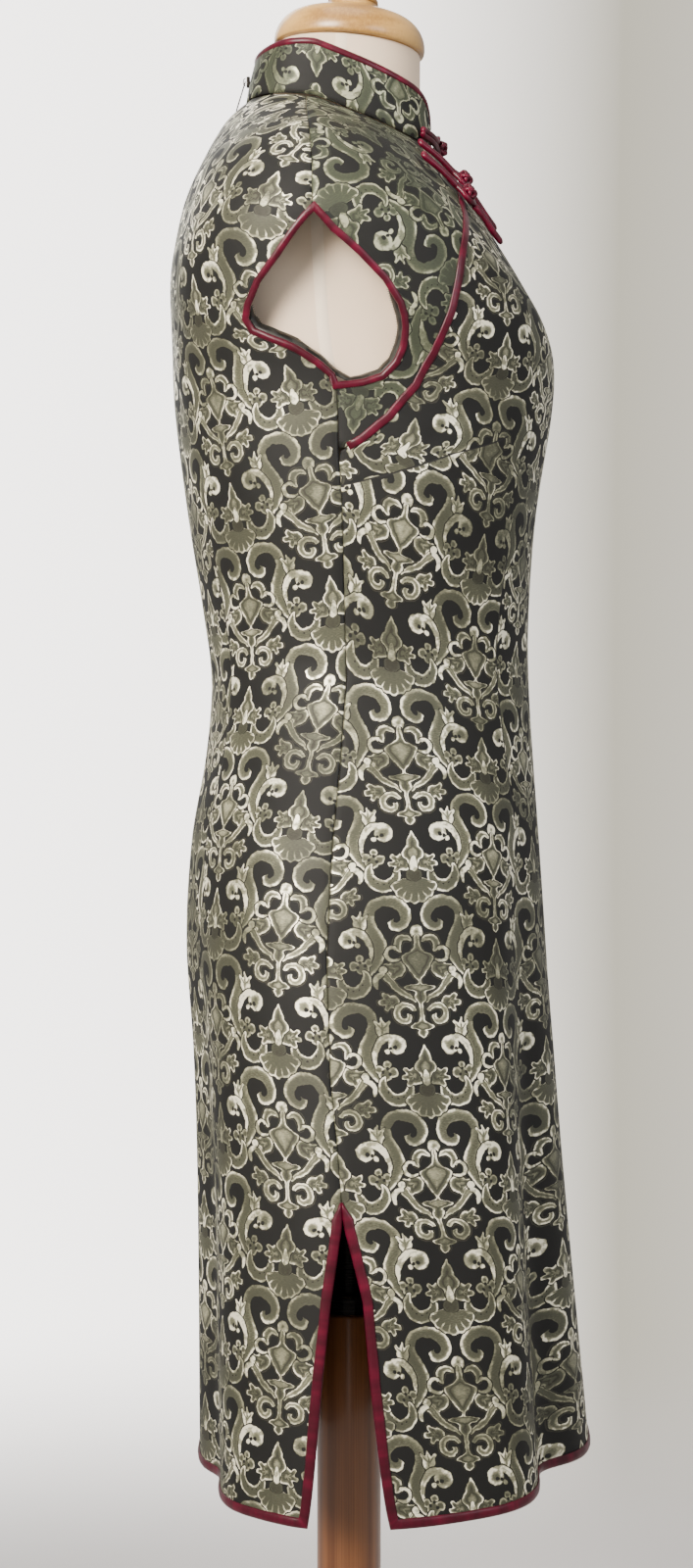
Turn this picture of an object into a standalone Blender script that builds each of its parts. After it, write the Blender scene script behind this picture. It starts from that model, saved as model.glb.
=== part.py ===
"""Short-sleeved cheongsam in figured brocade, worn by a limbless dress form on a wooden stand.

Metres, +Z up. The wearer's front faces -Y and the wearer's right side faces -X.
The origin is on the floor, under the middle of the stand's round base.

The whole garment lies on one surface. A place on it is given by an angle round the body
(0 at centre front, 90 at the wearer's right side, 180 at centre back, -90 at the left side)
and a level (0 at the neck seam, one more for each row of DRESS, the last at the hem).
"""

from collections import namedtuple
from math import cos, exp, pi, radians, sin, sqrt

import bmesh
import bpy
from mathutils import Vector

# ---------------------------------------------------------------- driving sizes

CLOTH = 0.0012  # brocade wall
SEAM_GAP = 0.0004  # between two pieces that are sewn together
BINDING_WIDTH = 0.006  # satin binding on the hem and slits, as it shows on the right side
NARROW_BINDING = 0.0042  # the same on the armholes and the collar
PLACKET_WIDTH = 0.0050
BINDING_WALL = 0.0006
BINDING_CLEAR = 0.0010  # between the cloth's face and the binding round it
EDGE_COLUMN = 0.007  # first grid line inside a bound or sewn edge
FRONT_COLUMNS, BACK_COLUMNS, YOKE_COLUMNS = 17, 8, 4

BRIDGE_WIRE = 0.00035  # the arch on the zip's slider that holds the pull tab
TAB_LEAN = radians(17.0)  # the hanging tab rests outward, on the swell of the back
COLLAR_HEIGHT = 0.040

CORD_RADIUS = 0.0015  # rolled satin cord of the frogs
FROG_REACH = 0.040  # from the button to either end of a frog
KNOT_RADIUS = 0.0046

FORM_BOTTOM_Z = 0.79
POLE_RADIUS = 0.0234
POLE_TOP_Z = 0.538
ROD_RADIUS = 0.0125
BORE_RADIUS = 0.0129
BORE_BOTTOM_Z = 0.300
ROD_BOTTOM_Z = 0.385
BASE_RADIUS = 0.200
BASE_THICK = 0.028
NECK_TILT = radians(5.0)

# ---------------------------------------------------------------- section tables

Section = namedtuple(
    "Section", "side side_z middle front front_z back back_z front_square back_square rise"
)

# A ring: its half-width and height at the side and how far behind the axis that is, its reach
# to the front and to the back with the height of each, how square its two halves are, and how
# the height changes from the side to the ends (1 straight, 2 like a saddle).
DRESS = [
    Section(0.059, 1.415, 0.025, 0.060, 1.384, 0.075, 1.421, 2.40, 2.1, 1.0),  # neck seam
    Section(0.090, 1.403, 0.025, 0.077, 1.367, 0.092, 1.404, 1.90, 2.0, 1.2),  # collar bone
    Section(0.128, 1.388, 0.025, 0.096, 1.337, 0.108, 1.373, 1.85, 2.1, 1.4),  # mid shoulder
    Section(0.158, 1.370, 0.024, 0.116, 1.303, 0.119, 1.344, 1.90, 2.3, 1.5),  # shoulder point
    Section(0.180, 1.343, 0.023, 0.133, 1.271, 0.126, 1.310, 2.05, 2.4, 1.7),  # cap turns down
    Section(0.190, 1.308, 0.023, 0.144, 1.248, 0.129, 1.280, 2.20, 2.5, 2.0),  # tip of the cap
    Section(0.180, 1.250, 0.012, 0.149, 1.225, 0.128, 1.238, 2.30, 2.5, 2.0),  # bust
    Section(0.164, 1.196, 0.004, 0.147, 1.190, 0.126, 1.192, 2.35, 2.4, 2.0),  # underarm
    Section(0.156, 1.120, 0.000, 0.136, 1.120, 0.117, 1.120, 2.30, 2.3, 2.0),  # under bust
    Section(0.140, 1.050, 0.000, 0.131, 1.050, 0.106, 1.050, 2.20, 2.2, 2.0),
    Section(0.134, 1.000, 0.000, 0.131, 1.000, 0.100, 1.000, 2.20, 2.2, 2.0),  # waist
    Section(0.147, 0.945, 0.000, 0.134, 0.945, 0.104, 0.945, 2.20, 2.2, 2.0),
    Section(0.168, 0.885, 0.000, 0.138, 0.885, 0.114, 0.885, 2.30, 2.3, 2.0),  # high hip
    Section(0.182, 0.810, 0.000, 0.143, 0.810, 0.118, 0.810, 2.30, 2.3, 2.0),  # hip
    Section(0.190, 0.730, 0.000, 0.149, 0.730, 0.113, 0.730, 2.30, 2.3, 2.0),
    Section(0.198, 0.631, 0.000, 0.157, 0.631, 0.110, 0.631, 2.30, 2.3, 2.0),  # slits begin
    Section(0.204, 0.436, 0.000, 0.174, 0.449, 0.108, 0.439, 2.30, 2.3, 2.0),  # hem
]
TIP, UNDERARM, SLIT_TOP, HEM = 5, 7, 15, 16

FORM = [
    Section(0.0510, 1.4625, 0.000, 0.052, 1.4580, 0.052, 1.467, 2.00, 2.0, 1.0),  # under cap
    Section(0.0500, 1.4360, 0.003, 0.052, 1.4200, 0.054, 1.441, 2.00, 2.0, 1.0),
    Section(0.0520, 1.4090, 0.022, 0.053, 1.3830, 0.061, 1.415, 2.00, 2.0, 1.0),  # neck root
    Section(0.0840, 1.3960, 0.023, 0.070, 1.3620, 0.085, 1.396, 1.90, 2.0, 1.2),
    Section(0.1220, 1.3800, 0.023, 0.089, 1.3310, 0.101, 1.365, 1.85, 2.1, 1.4),
    Section(0.1460, 1.3600, 0.022, 0.108, 1.2970, 0.112, 1.336, 1.90, 2.3, 1.5),  # shoulder
    Section(0.1540, 1.3300, 0.020, 0.125, 1.2650, 0.119, 1.303, 2.05, 2.4, 1.7),
    Section(0.1530, 1.2880, 0.016, 0.136, 1.2440, 0.122, 1.274, 2.20, 2.4, 2.0),
    Section(0.1500, 1.2380, 0.010, 0.141, 1.2220, 0.121, 1.232, 2.30, 2.4, 2.0),  # bust
    Section(0.1500, 1.1900, 0.004, 0.139, 1.1880, 0.119, 1.190, 2.35, 2.4, 2.0),
    Section(0.1410, 1.1200, 0.000, 0.127, 1.1200, 0.110, 1.120, 2.30, 2.3, 2.0),
    Section(0.1270, 1.0500, 0.000, 0.122, 1.0500, 0.099, 1.050, 2.20, 2.2, 2.0),
    Section(0.1220, 1.0000, 0.000, 0.121, 1.0000, 0.093, 1.000, 2.20, 2.2, 2.0),  # waist
    Section(0.1350, 0.9450, 0.000, 0.125, 0.9450, 0.096, 0.945, 2.20, 2.2, 2.0),
    Section(0.1560, 0.8850, 0.000, 0.129, 0.8850, 0.105, 0.885, 2.30, 2.3, 2.0),
    Section(0.1680, 0.8250, 0.000, 0.132, 0.8250, 0.108, 0.825, 2.30, 2.3, 2.0),  # hip
    Section(0.1670, FORM_BOTTOM_Z, 0.0, 0.130, FORM_BOTTOM_Z, 0.106, FORM_BOTTOM_Z, 2.3, 2.3, 2.0),
]

Fold = namedtuple("Fold", "angle width from_level depth")

# Soft folds of the skirt. A depth is how far the cloth goes in at the hem; minus is out.
FOLDS = [
    Fold(33.0, 10.0, 10.5, 0.024),  # valley beside the right front
    Fold(53.0, 10.0, 11.0, -0.005),  # ridge that turns the front into the side
    Fold(152.0, 9.0, 11.5, 0.013),  # valley beside the right back
    Fold(133.0, 9.0, 11.5, -0.004),
    Fold(-36.0, 12.0, 11.0, 0.020),  # the same on the left, a little softer
    Fold(-57.0, 10.0, 11.5, -0.004),
    Fold(-150.0, 11.0, 12.0, 0.011),
]

Edge = namedtuple("Edge", "level front_y back_y")

# The armhole as seen from the side: where its front and back edges lie at each level.
ARMHOLE = [
    Edge(5.00, 0.0235, 0.0235),
    Edge(5.25, 0.0115, 0.0350),
    Edge(5.50, -0.0070, 0.0465),
    Edge(5.75, -0.0235, 0.0600),
    Edge(6.00, -0.0335, 0.0670),
    Edge(6.15, -0.0360, 0.0685),
    Edge(6.30, -0.0368, 0.0640),
    Edge(6.42, -0.0363, 0.0520),
    Edge(6.55, -0.0352, 0.0370),
    Edge(6.75, -0.0305, 0.0205),
    Edge(6.90, -0.0220, 0.0105),
    Edge(6.97, -0.0090, 0.0092),
    Edge(7.00, 0.0080, 0.0080),
]

Waypoint = namedtuple("Waypoint", "level angle")

# The slanting front opening, from centre front at the neck to the right side seam.
PLACKET = [
    Waypoint(0.0, 1.0),
    Waypoint(0.5, 8.0),
    Waypoint(1.0, 15.5),
    Waypoint(1.5, 22.5),
    Waypoint(2.0, 30.0),
    Waypoint(2.5, 36.5),
    Waypoint(3.0, 42.0),
    Waypoint(4.0, 49.5),
    Waypoint(5.0, 54.5),
    Waypoint(5.5, 57.5),
    Waypoint(6.0, 61.2),
    Waypoint(6.6, 66.5),
    Waypoint(7.0, 71.5),
    Waypoint(7.3, 78.5),
    Waypoint(7.5, 86.0),
    Waypoint(7.6, 92.0),
]
PLACKET_END = 7.6

SIDE_SEAM = [
    Waypoint(7.00, 92.0),
    Waypoint(7.60, 92.8),
    Waypoint(9.00, 91.7),
    Waypoint(10.00, 91.0),
    Waypoint(11.00, 93.0),
    Waypoint(12.00, 95.6),
    Waypoint(13.00, 97.2),
    Waypoint(14.00, 96.3),
    Waypoint(15.00, 92.0),
    Waypoint(15.25, 90.9),
    Waypoint(16.00, 90.6),
]

SHOULDER_SEAM = [
    Waypoint(0.0, 96.0),
    Waypoint(1.0, 94.2),
    Waypoint(2.0, 92.6),
    Waypoint(5.0, 90.2),
]

# How far the slit's edges stand from the seam line: the front edge bows before it falls.
SlitEdge = namedtuple("SlitEdge", "level front back")
SLIT = [
    SlitEdge(15.00, 0.0021, 0.0021),
    SlitEdge(15.12, 0.0062, 0.0060),
    SlitEdge(15.25, 0.0115, 0.0110),
    SlitEdge(15.50, 0.0165, 0.0175),
    SlitEdge(16.00, 0.0285, 0.0275),
]

LEVELS = [0, 0.5, 1, 1.5, 2, 2.6, 3.3, 4, 4.6, 5, 5.1, 5.25, 5.5, 5.75, 6, 6.15, 6.3, 6.42, 6.55, 6.75]
LEVELS += [6.93, 7, 7.3, 7.5, 7.6, 8.2, 9, 9.6, 10.2, 11, 12, 13, 14, 14.92]
LEVELS += [15, 15.12, 15.3, 15.6, 16]


# ---------------------------------------------------------------- the garment's surface


def between(a, b, share):
    return a + (b - a) * share


def read(table, level, column):
    """A table's column at a level, in straight stretches between its rows."""
    if level <= table[0].level:
        return getattr(table[0], column)
    for low, high in zip(table, table[1:]):
        if level <= high.level:
            share = (level - low.level) / (high.level - low.level)
            return between(getattr(low, column), getattr(high, column), share)
    return getattr(table[-1], column)


def section(rows, level):
    """A smooth section between the rows of a section table."""
    last = len(rows) - 1
    i = min(int(level), last - 1)
    t = level - i
    a, b, c, d = (rows[min(max(k, 0), last)] for k in (i - 1, i, i + 1, i + 2))
    values = []
    for w, x, y, z in zip(a, b, c, d):
        curve = (y - w) * t + (2 * w - 5 * x + 4 * y - z) * t**2 + (3 * x - w - 3 * y + z) * t**3
        values.append(x + curve / 2)
    return Section(*values)


def fold_depth(angle, level):
    total = 0.0
    for fold in FOLDS:
        if level <= fold.from_level:
            continue
        turn = (angle - fold.angle + 180) % 360 - 180
        growth = (level - fold.from_level) / (HEM - fold.from_level)
        total += fold.depth * growth**1.4 * exp(-((turn / fold.width) ** 2))
    return total


def place(rows, angle, level):
    """The point of the ring at this level, at an angle from centre front."""
    s = section(rows, level)
    c, k = cos(radians(angle)), sin(radians(angle))
    if c > 0:
        square, end_y, end_z = s.front_square, -s.front, s.front_z
    else:
        square, end_y, end_z = s.back_square, s.back, s.back_z
    reach = (abs(c) ** square + abs(k) ** square) ** (-1 / square)
    share = min(abs(c) * reach, 1.0)
    y = s.middle + (end_y - s.middle) * share
    return Vector((-s.side * k * reach, y, s.side_z + (end_z - s.side_z) * share**s.rise))


def dress(angle, level):
    point = place(DRESS, angle, level)
    flat = Vector((point.x, point.y, 0))
    return point - flat.normalized() * fold_depth(angle, level)


def partials(angle, level):
    """How the surface moves for one degree and for one level."""
    around = (dress(angle + 0.5, level) - dress(angle - 0.5, level)) / 1.0
    low, high = max(level - 0.02, 0), min(level + 0.02, HEM)
    return around, (dress(angle, high) - dress(angle, low)) / (high - low)


def normal(angle, level):
    around, down = partials(angle, level)
    return around.cross(down).normalized()


def angle_at(y, level):
    """The angle on the right side where the ring of this level has this y."""
    low, high = 40.0, 140.0
    for _ in range(40):
        middle = (low + high) / 2
        if dress(middle, level).y < y:
            low = middle
        else:
            high = middle
    return low


def across(angle, level, distance):
    """The angle reached by going this far round the body from an angle, in short steps."""
    steps = int(abs(distance) / 0.003) + 1
    ahead = 0.5 if distance > 0 else -0.5
    for _ in range(steps):
        angle += distance / steps / partials(angle + ahead, level)[0].length
    return angle


def surface_walk(angle, level, way, distance):
    """The place reached by going a distance over the surface, in small straight steps."""
    steps = 8
    for _ in range(steps):
        around, down = partials(angle, level)
        a, b, c = around.dot(around), around.dot(down), down.dot(down)
        p, q = around.dot(way), down.dot(way)
        det = a * c - b * b
        step = distance / steps
        angle += step * (c * p - b * q) / det
        level = max(level + step * (a * q - b * p) / det, 0.05)
    return angle, level


# ---------------------------------------------------------------- edges of the pieces


def armhole_front(level):
    return angle_at(read(ARMHOLE, level, "front_y"), level)


def armhole_back(level):
    return angle_at(read(ARMHOLE, level, "back_y"), level)


def side_front(level):
    """The front's edge on the right: shoulder seam, armhole, side seam, slit."""
    if level <= TIP:
        return across(read(SHOULDER_SEAM, level, "angle"), level, -SEAM_GAP / 2)
    if level < UNDERARM:
        return armhole_front(level)
    seam = read(SIDE_SEAM, level, "angle")
    if level < SLIT_TOP:
        return across(seam, level, -SEAM_GAP / 2)
    return across(seam, level, -read(SLIT, level, "front"))


def side_back(level):
    if level <= TIP:
        return across(read(SHOULDER_SEAM, level, "angle"), level, SEAM_GAP / 2)
    if level < UNDERARM:
        return armhole_back(level)
    seam = read(SIDE_SEAM, level, "angle")
    if level < SLIT_TOP:
        return across(seam, level, SEAM_GAP / 2)
    return across(seam, level, read(SLIT, level, "back"))


def placket(level):
    return read(PLACKET, level, "angle")


def front_right_edge(level):
    """The front panel ends at the slanting opening, and under it at the side seam."""
    if level <= PLACKET_END:
        return across(placket(level), level, -SEAM_GAP / 2)
    return side_front(level)


def yoke_start(level):
    return across(placket(level), level, SEAM_GAP / 2)


def left_front(level):
    return -side_front(level)


def left_back(level):
    return 360 - side_back(level)


def centre_back_right(level):
    return across(180.0, level, -SEAM_GAP / 2)


def centre_back_left(level):
    return across(180.0, level, SEAM_GAP / 2)


# ---------------------------------------------------------------- modelling helpers


def clear_scene():
    for obj in list(bpy.data.objects):
        bpy.data.objects.remove(obj)


def make_material(name, colour, roughness, metallic=0.0):
    material = bpy.data.materials.new(name)
    material.use_nodes = True
    shader = material.node_tree.nodes["Principled BSDF"]
    shader.inputs["Base Color"].default_value = (*colour, 1.0)
    shader.inputs["Roughness"].default_value = roughness
    shader.inputs["Metallic"].default_value = metallic
    return material


def new_object(name, data, material):
    obj = bpy.data.objects.new(name, data)
    obj.data.materials.append(material)
    bpy.data.collections["cheongsam"].objects.link(obj)
    return obj


def grid_mesh(name, rows, closed=False):
    """An open sheet through rows of points, all of one length."""
    work = bmesh.new()
    verts = [[work.verts.new(p) for p in row] for row in rows]
    pairs = list(zip(verts, verts[1:]))
    if closed:
        pairs.append((verts[-1], verts[0]))
    for upper, lower in pairs:
        for i in range(len(upper) - 1):
            work.faces.new((upper[i], lower[i], lower[i + 1], upper[i + 1]))
    mesh = bpy.data.meshes.new(name)
    work.to_mesh(mesh)
    work.free()
    return mesh


def solidify(obj, thickness, offset):
    wall = obj.modifiers.new("wall", "SOLIDIFY")
    wall.thickness = thickness
    wall.offset = offset
    wall.use_even_offset = True
    return obj


def columns(start, end, level, count):
    """Angles from edge to edge, with the first and last grid lines close to the edges."""
    width = (end - start) * partials((start + end) / 2, level)[0].length
    margin = min(EDGE_COLUMN, width / 4)
    inner_start, inner_end = across(start, level, margin), across(end, level, -margin)
    inner = [between(inner_start, inner_end, i / count) for i in range(count + 1)]
    return [start] + inner + [end]


def panel(name, material, levels, start, end, count):
    """A cloth panel between two edges, each a function of the level."""
    rows = []
    for level in levels:
        angles = columns(start(level), end(level), level, count)
        rows.append([dress(a, level) for a in angles])
    return solidify(new_object(name, grid_mesh(name, rows), material), CLOTH, 0.0)


def inward_directions(points, normals, closed):
    """For each point of an edge, the way into the cloth, mitred where the edge turns."""
    last = len(points) - 1
    result = []
    for i, point in enumerate(points):
        sides = []
        if closed or i > 0:
            sides.append((point - points[i - 1]).normalized())
        if closed or i < last:
            sides.append((points[(i + 1) % len(points)] - point).normalized())
        ways = [normals[i].cross(s).normalized() for s in sides]
        total = sum(ways, Vector())
        spread = 1 + ways[0].dot(ways[-1])
        result.append(total / max(spread, 0.6) if len(ways) == 2 else ways[0])
    return result


def edge_binding(name, material, path, width, closed=False):
    """Satin folded over an edge. path is (angle, level) places, with the cloth on their left
    as seen from outside. The inner line of each flap follows the cloth's surface."""
    points = [dress(a, level) for a, level in path]
    normals = [normal(a, level) for a, level in path]
    half = CLOTH / 2 + BINDING_CLEAR
    rows = []
    for i, into in enumerate(inward_directions(points, normals, closed)):
        a, level = surface_walk(*path[i], into.normalized(), width * into.length)
        edge, lift = dress(a, level), normal(a, level) * (half + 0.0004)
        rim, n = points[i] - into * BINDING_CLEAR, normals[i] * half
        rows.append([edge + lift, rim + n, rim - n, edge - lift])
    obj = new_object(name, grid_mesh(name, rows, closed), material)
    return solidify(obj, BINDING_WALL, -1.0)


def wrapped_binding(name, material, points, normals):
    """Satin folded over an edge given by its points and normals."""
    half = CLOTH / 2 + BINDING_CLEAR
    rows = []
    for p, n, into in zip(points, normals, inward_directions(points, normals, False)):
        edge, rim = p + into * NARROW_BINDING, p - into * BINDING_CLEAR
        rows.append([edge + n * half, rim + n * half, rim - n * half, edge - n * half])
    obj = new_object(name, grid_mesh(name, rows), material)
    return solidify(obj, BINDING_WALL, -1.0)


def tube(name, material, points, radius, sides=2):
    """A cord through the points: a curve with round section and closed ends."""
    data = bpy.data.curves.new(name, "CURVE")
    data.dimensions = "3D"
    data.bevel_depth = radius
    data.bevel_resolution = sides
    data.use_fill_caps = True
    spline = data.splines.new("POLY")
    spline.points.add(len(points) - 1)
    for slot, point in zip(spline.points, points):
        slot.co = (*point, 1.0)
    return new_object(name, data, material)


def turned(name, material, profile, steps=32):
    """A turned solid from a (radius, height) profile. It runs from axis to axis, or back to
    its first point for a ring."""
    mesh = bpy.data.meshes.new(name)
    ring = profile[0] == profile[-1]
    points = profile[:-1] if ring else profile
    edges = [(i, (i + 1) % len(points)) for i in range(len(profile) - 1)]
    mesh.from_pydata([(r, 0.0, z) for r, z in points], edges, [])
    obj = new_object(name, mesh, material)
    screw = obj.modifiers.new("turn", "SCREW")
    screw.steps = screw.render_steps = steps
    screw.use_merge_vertices = True
    screw.merge_threshold = 0.00001
    screw.use_smooth_shade = True
    return obj


def arc(centre_r, centre_z, radius, start, end, steps):
    """Points of an arc in a turned profile, by angle in degrees above the horizontal."""
    turns = [radians(between(start, end, i / steps)) for i in range(steps + 1)]
    return [(centre_r + radius * cos(t), centre_z + radius * sin(t)) for t in turns]


# ---------------------------------------------------------------- cloth pieces


def make_panels(brocade):
    upper = [level for level in LEVELS if level < PLACKET_END] + [PLACKET_END - 0.03]
    panel("front_panel", brocade, LEVELS, left_front, front_right_edge, FRONT_COLUMNS)
    panel("front_yoke", brocade, upper, yoke_start, side_front, YOKE_COLUMNS)
    panel("back_panel_right", brocade, LEVELS, side_back, centre_back_right, BACK_COLUMNS)
    panel("back_panel_left", brocade, LEVELS, centre_back_left, left_back, BACK_COLUMNS)


def collar_ring(angle, rise):
    """The stand collar at a share of its height, leaning in a little towards the neck."""
    base = dress(angle, 0)
    lift = COLLAR_HEIGHT * (1 - 0.2 * max(-cos(radians(angle)), 0) ** 2)
    lean = rise * (0.0025 + (0.0005 if abs(angle) < 90 else -0.0050) * cos(radians(angle)))
    flat = Vector((base.x, base.y, 0)).normalized()
    stand_off = Vector((0, 0, CLOTH / 2 + SEAM_GAP + 0.0006))
    return base + stand_off - flat * lean + Vector((0, 0, lift * rise))


def collar_rise(angle):
    """The collar's height as a share: its front corners are rounded down to the seam."""
    corner = 36.0
    if abs(angle) >= corner:
        return 1.0
    return 0.16 + 0.84 * sqrt(1 - (1 - abs(angle) / corner) ** 2)


def collar_angles(side):
    stops = [2.8, 5, 9, 16, 24, 33, 42, 55, 70, 85, 100, 115, 130, 145, 160, 172, 179.7]
    return [side * a for a in stops]


def make_collar(brocade, satin):
    for side, label in ((1, "right"), (-1, "left")):
        angles = collar_angles(side)
        heights = [0.0, 0.4, 0.78, 1.0]
        rows = [[collar_ring(a, collar_rise(a) * h) for a in angles] for h in heights[::-1]]
        if side < 0:
            rows = [row[::-1] for row in rows]
        name = "collar_" + label
        solidify(new_object(name, grid_mesh(name, rows), brocade), CLOTH, 0.0)
        points = [collar_ring(a, collar_rise(a)) for a in angles]
        bases = [collar_ring(a, 0) for a in angles]
        normals = []
        for i, point in enumerate(points):
            along = points[min(i + 1, len(points) - 1)] - points[max(i - 1, 0)]
            out = (point - bases[i]).cross(along) * side
            normals.append(out.normalized())
        wrapped_binding("collar_binding_" + label, satin, points[::side], normals[::side])


def hem_path(low_edge, high_edge, hem):
    """Down the slit at the higher angle, along the hem's columns and up the other slit."""
    slit_levels = [level for level in LEVELS if SLIT_TOP <= level < HEM]
    down = [(high_edge(level), level) for level in slit_levels]
    up = [(low_edge(level), level) for level in reversed(slit_levels)]
    return down + [(a, HEM) for a in reversed(hem)] + up


def make_bindings(satin):
    levels = [level for level in LEVELS if TIP <= level <= UNDERARM]
    right = [(armhole_front(level), level) for level in levels]
    right += [(armhole_back(level), level) for level in reversed(levels[1:-1])]
    edge_binding("armhole_binding_right", satin, right, NARROW_BINDING, True)
    left = [(-a, level) for a, level in reversed(right)]
    edge_binding("armhole_binding_left", satin, left, NARROW_BINDING, True)
    hem = columns(left_front(HEM), side_front(HEM), HEM, FRONT_COLUMNS)
    path = hem_path(left_front, side_front, hem)
    edge_binding("front_hem_binding", satin, path, BINDING_WIDTH)
    hem = columns(side_back(HEM), 180.0, HEM, BACK_COLUMNS)[:-1]
    hem += columns(180.0, left_back(HEM), HEM, BACK_COLUMNS)
    path = hem_path(side_back, left_back, hem)
    edge_binding("back_hem_binding", satin, path, BINDING_WIDTH)


def make_placket(satin):
    """A flat binding over the seam of the slanting opening."""
    lift = CLOTH / 2 + BINDING_CLEAR
    levels = [level for level in LEVELS if level <= PLACKET_END]
    path = [(placket(level), level) for level in levels]
    path[0] = (placket(0.3), 0.3)
    path[-1] = (placket(PLACKET_END - 0.03), PLACKET_END - 0.03)
    points = [dress(a, level) for a, level in path]
    normals = [normal(a, level) for a, level in path]
    rows = []
    for p, n, into in zip(points, normals, inward_directions(points, normals, False)):
        middle = p + n * lift
        rows.append([middle - into * PLACKET_WIDTH / 2, middle + into * PLACKET_WIDTH / 2])
    obj = new_object("placket_binding", grid_mesh("placket_binding", rows), satin)
    solidify(obj, BINDING_WALL, 1.0)


# ---------------------------------------------------------------- frogs and zip


def doubled_cord(run, out, ring_radius):
    """A cord laid double along a run that starts at the button. With a ring it goes round
    the button; without, it only turns there."""
    along = run[-1] - run[0]
    along = (along - out * along.dot(out)).normalized()
    side = along.cross(out).normalized()
    offset = side * (CORD_RADIUS + 0.0002)
    rest = run[1:] if ring_radius else run
    ring = []
    if ring_radius:
        for turn in (145, 110, 70, 25, -25, -70, -110, -145):
            t = radians(turn)
            ring.append(run[0] - (along * cos(t) - side * sin(t)) * ring_radius)
    return [p + offset for p in reversed(rest)] + ring + [p - offset for p in rest]


def frog(name, satin, button, loop_run, tail_run, out):
    """A straight frog: a knot on a doubled cord, and a loop that closes round it."""
    neck = KNOT_RADIUS + CORD_RADIUS + 0.0007
    tube(name + "_loop", satin, doubled_cord([button] + loop_run, out, neck), CORD_RADIUS, 1)
    tube(name + "_tail", satin, doubled_cord(tail_run, out, 0), CORD_RADIUS, 1)
    ball = bmesh.new()
    bmesh.ops.create_uvsphere(ball, u_segments=12, v_segments=8, radius=KNOT_RADIUS)
    mesh = bpy.data.meshes.new(name + "_knot")
    ball.to_mesh(mesh)
    ball.free()
    knot = new_object(name + "_knot", mesh, satin)
    knot.location = button + out * 0.0020


def make_frogs(satin):
    lift = CLOTH / 2 + BINDING_CLEAR + BINDING_WALL + CORD_RADIUS + 0.0006
    tail_from = KNOT_RADIUS + 3 * CORD_RADIUS + 0.0016
    for name, level in (("frog_upper", 1.72), ("frog_lower", 2.62)):
        angle = placket(level)
        here, ahead = dress(angle, level), dress(placket(level + 0.1), level + 0.1)
        out = normal(angle, level)
        up = out.cross(ahead - here).normalized()
        if up.z < 0:
            up.negate()

        def run(way, distances):
            spots = [surface_walk(angle, level, way, d) for d in distances]
            return [dress(a, lv) + normal(a, lv) * lift for a, lv in spots]

        loop_run = run(up, (0.010, 0.020, 0.030, FROG_REACH))
        tail_run = run(-up, (tail_from, 0.020, 0.030, FROG_REACH))
        frog(name, satin, here + out * (lift + 0.0012), loop_run, tail_run, out)
    # The collar's frog lies across its two front ends, just above the seam.
    out = Vector((0, -1, 0))

    def collar_spot(angle):
        point = collar_ring(angle, 0.14)
        flat = Vector((point.x, point.y, 0)).normalized()
        return point + flat * (lift + 0.0004)

    loop_run = [collar_spot(a) for a in (10, 17, 25, 33)]
    tail_run = [collar_spot(-a) for a in (12, 17, 25, 33)]
    frog("frog_collar", satin, collar_spot(0) + out * 0.0012, loop_run, tail_run, out)


def make_zip(steel):
    """A concealed zip at centre back: chain inside the seam, slider and hanging pull tab."""
    chain_rows = []
    depth = CLOTH / 2 + 0.0012
    for level in (0.4, 1, 1.6, 2.3, 3, 4, 5, 6, 7, 8, 9, 10, 10.9, 11.9):
        n = normal(180, level)
        middle = dress(180, level) - n * depth
        across_way = Vector((0.0022, 0, 0))
        chain_rows.append([middle - across_way, middle + across_way])
    chain = new_object("zip_chain", grid_mesh("zip_chain", chain_rows), steel)
    solidify(chain, 0.0012, 1.0)
    top = collar_ring(180, 0.55)
    face = top + Vector((0, CLOTH / 2 + 0.0038, 0))
    slider = bmesh.new()
    bmesh.ops.create_cube(slider, size=1.0)
    bmesh.ops.scale(slider, vec=(0.0044, 0.0026, 0.0078), verts=slider.verts)
    mesh = bpy.data.meshes.new("zip_slider")
    slider.to_mesh(mesh)
    slider.free()
    body = new_object("zip_slider", mesh, steel)
    body.location = face - Vector((0, 0.0013, 0))
    bevel = body.modifiers.new("edges", "BEVEL")
    bevel.width = 0.0007
    bevel.segments = 2
    foot = 0.0004 + BRIDGE_WIRE
    arch = [(foot, 0.0026), (0.0013, 0.0026), (0.0021, 0.0018), (0.0023, 0.0)]
    arch += [(0.0021, -0.0018), (0.0013, -0.0026), (foot, -0.0026)]
    tube("zip_bridge", steel, [face + Vector((0, y, z)) for y, z in arch], BRIDGE_WIRE, 1)
    make_pull_tab(steel, face + Vector((0, 0.0010, 0)))


def make_pull_tab(steel, hinge):
    """A long tab with a window at its top: the bar above the window turns under the bridge."""
    data = bpy.data.curves.new("zip_pull_tab", "CURVE")
    data.dimensions = "2D"
    data.fill_mode = "BOTH"
    data.extrude = 0.0003
    outer = [(0.0017, 0.0004), (0.0017, -0.0044), (0.0013, -0.0080), (0.0021, -0.0180)]
    outer += [(0.0016, -0.0212), (0.0, -0.0225)]
    outer += [(-x, z) for x, z in reversed(outer[:-1])]
    window = [(0.0009, -0.0003), (0.0009, -0.0038), (-0.0009, -0.0038), (-0.0009, -0.0003)]
    for outline in (outer, window):
        spline = data.splines.new("POLY")
        spline.points.add(len(outline) - 1)
        spline.use_cyclic_u = True
        for slot, (x, z) in zip(spline.points, outline):
            slot.co = (x, z, 0.0, 1.0)
    tab = new_object("zip_pull_tab", data, steel)
    tab.location = hinge
    tab.rotation_euler = (pi / 2 + TAB_LEAN, 0, 0)


# ---------------------------------------------------------------- form and stand


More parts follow.
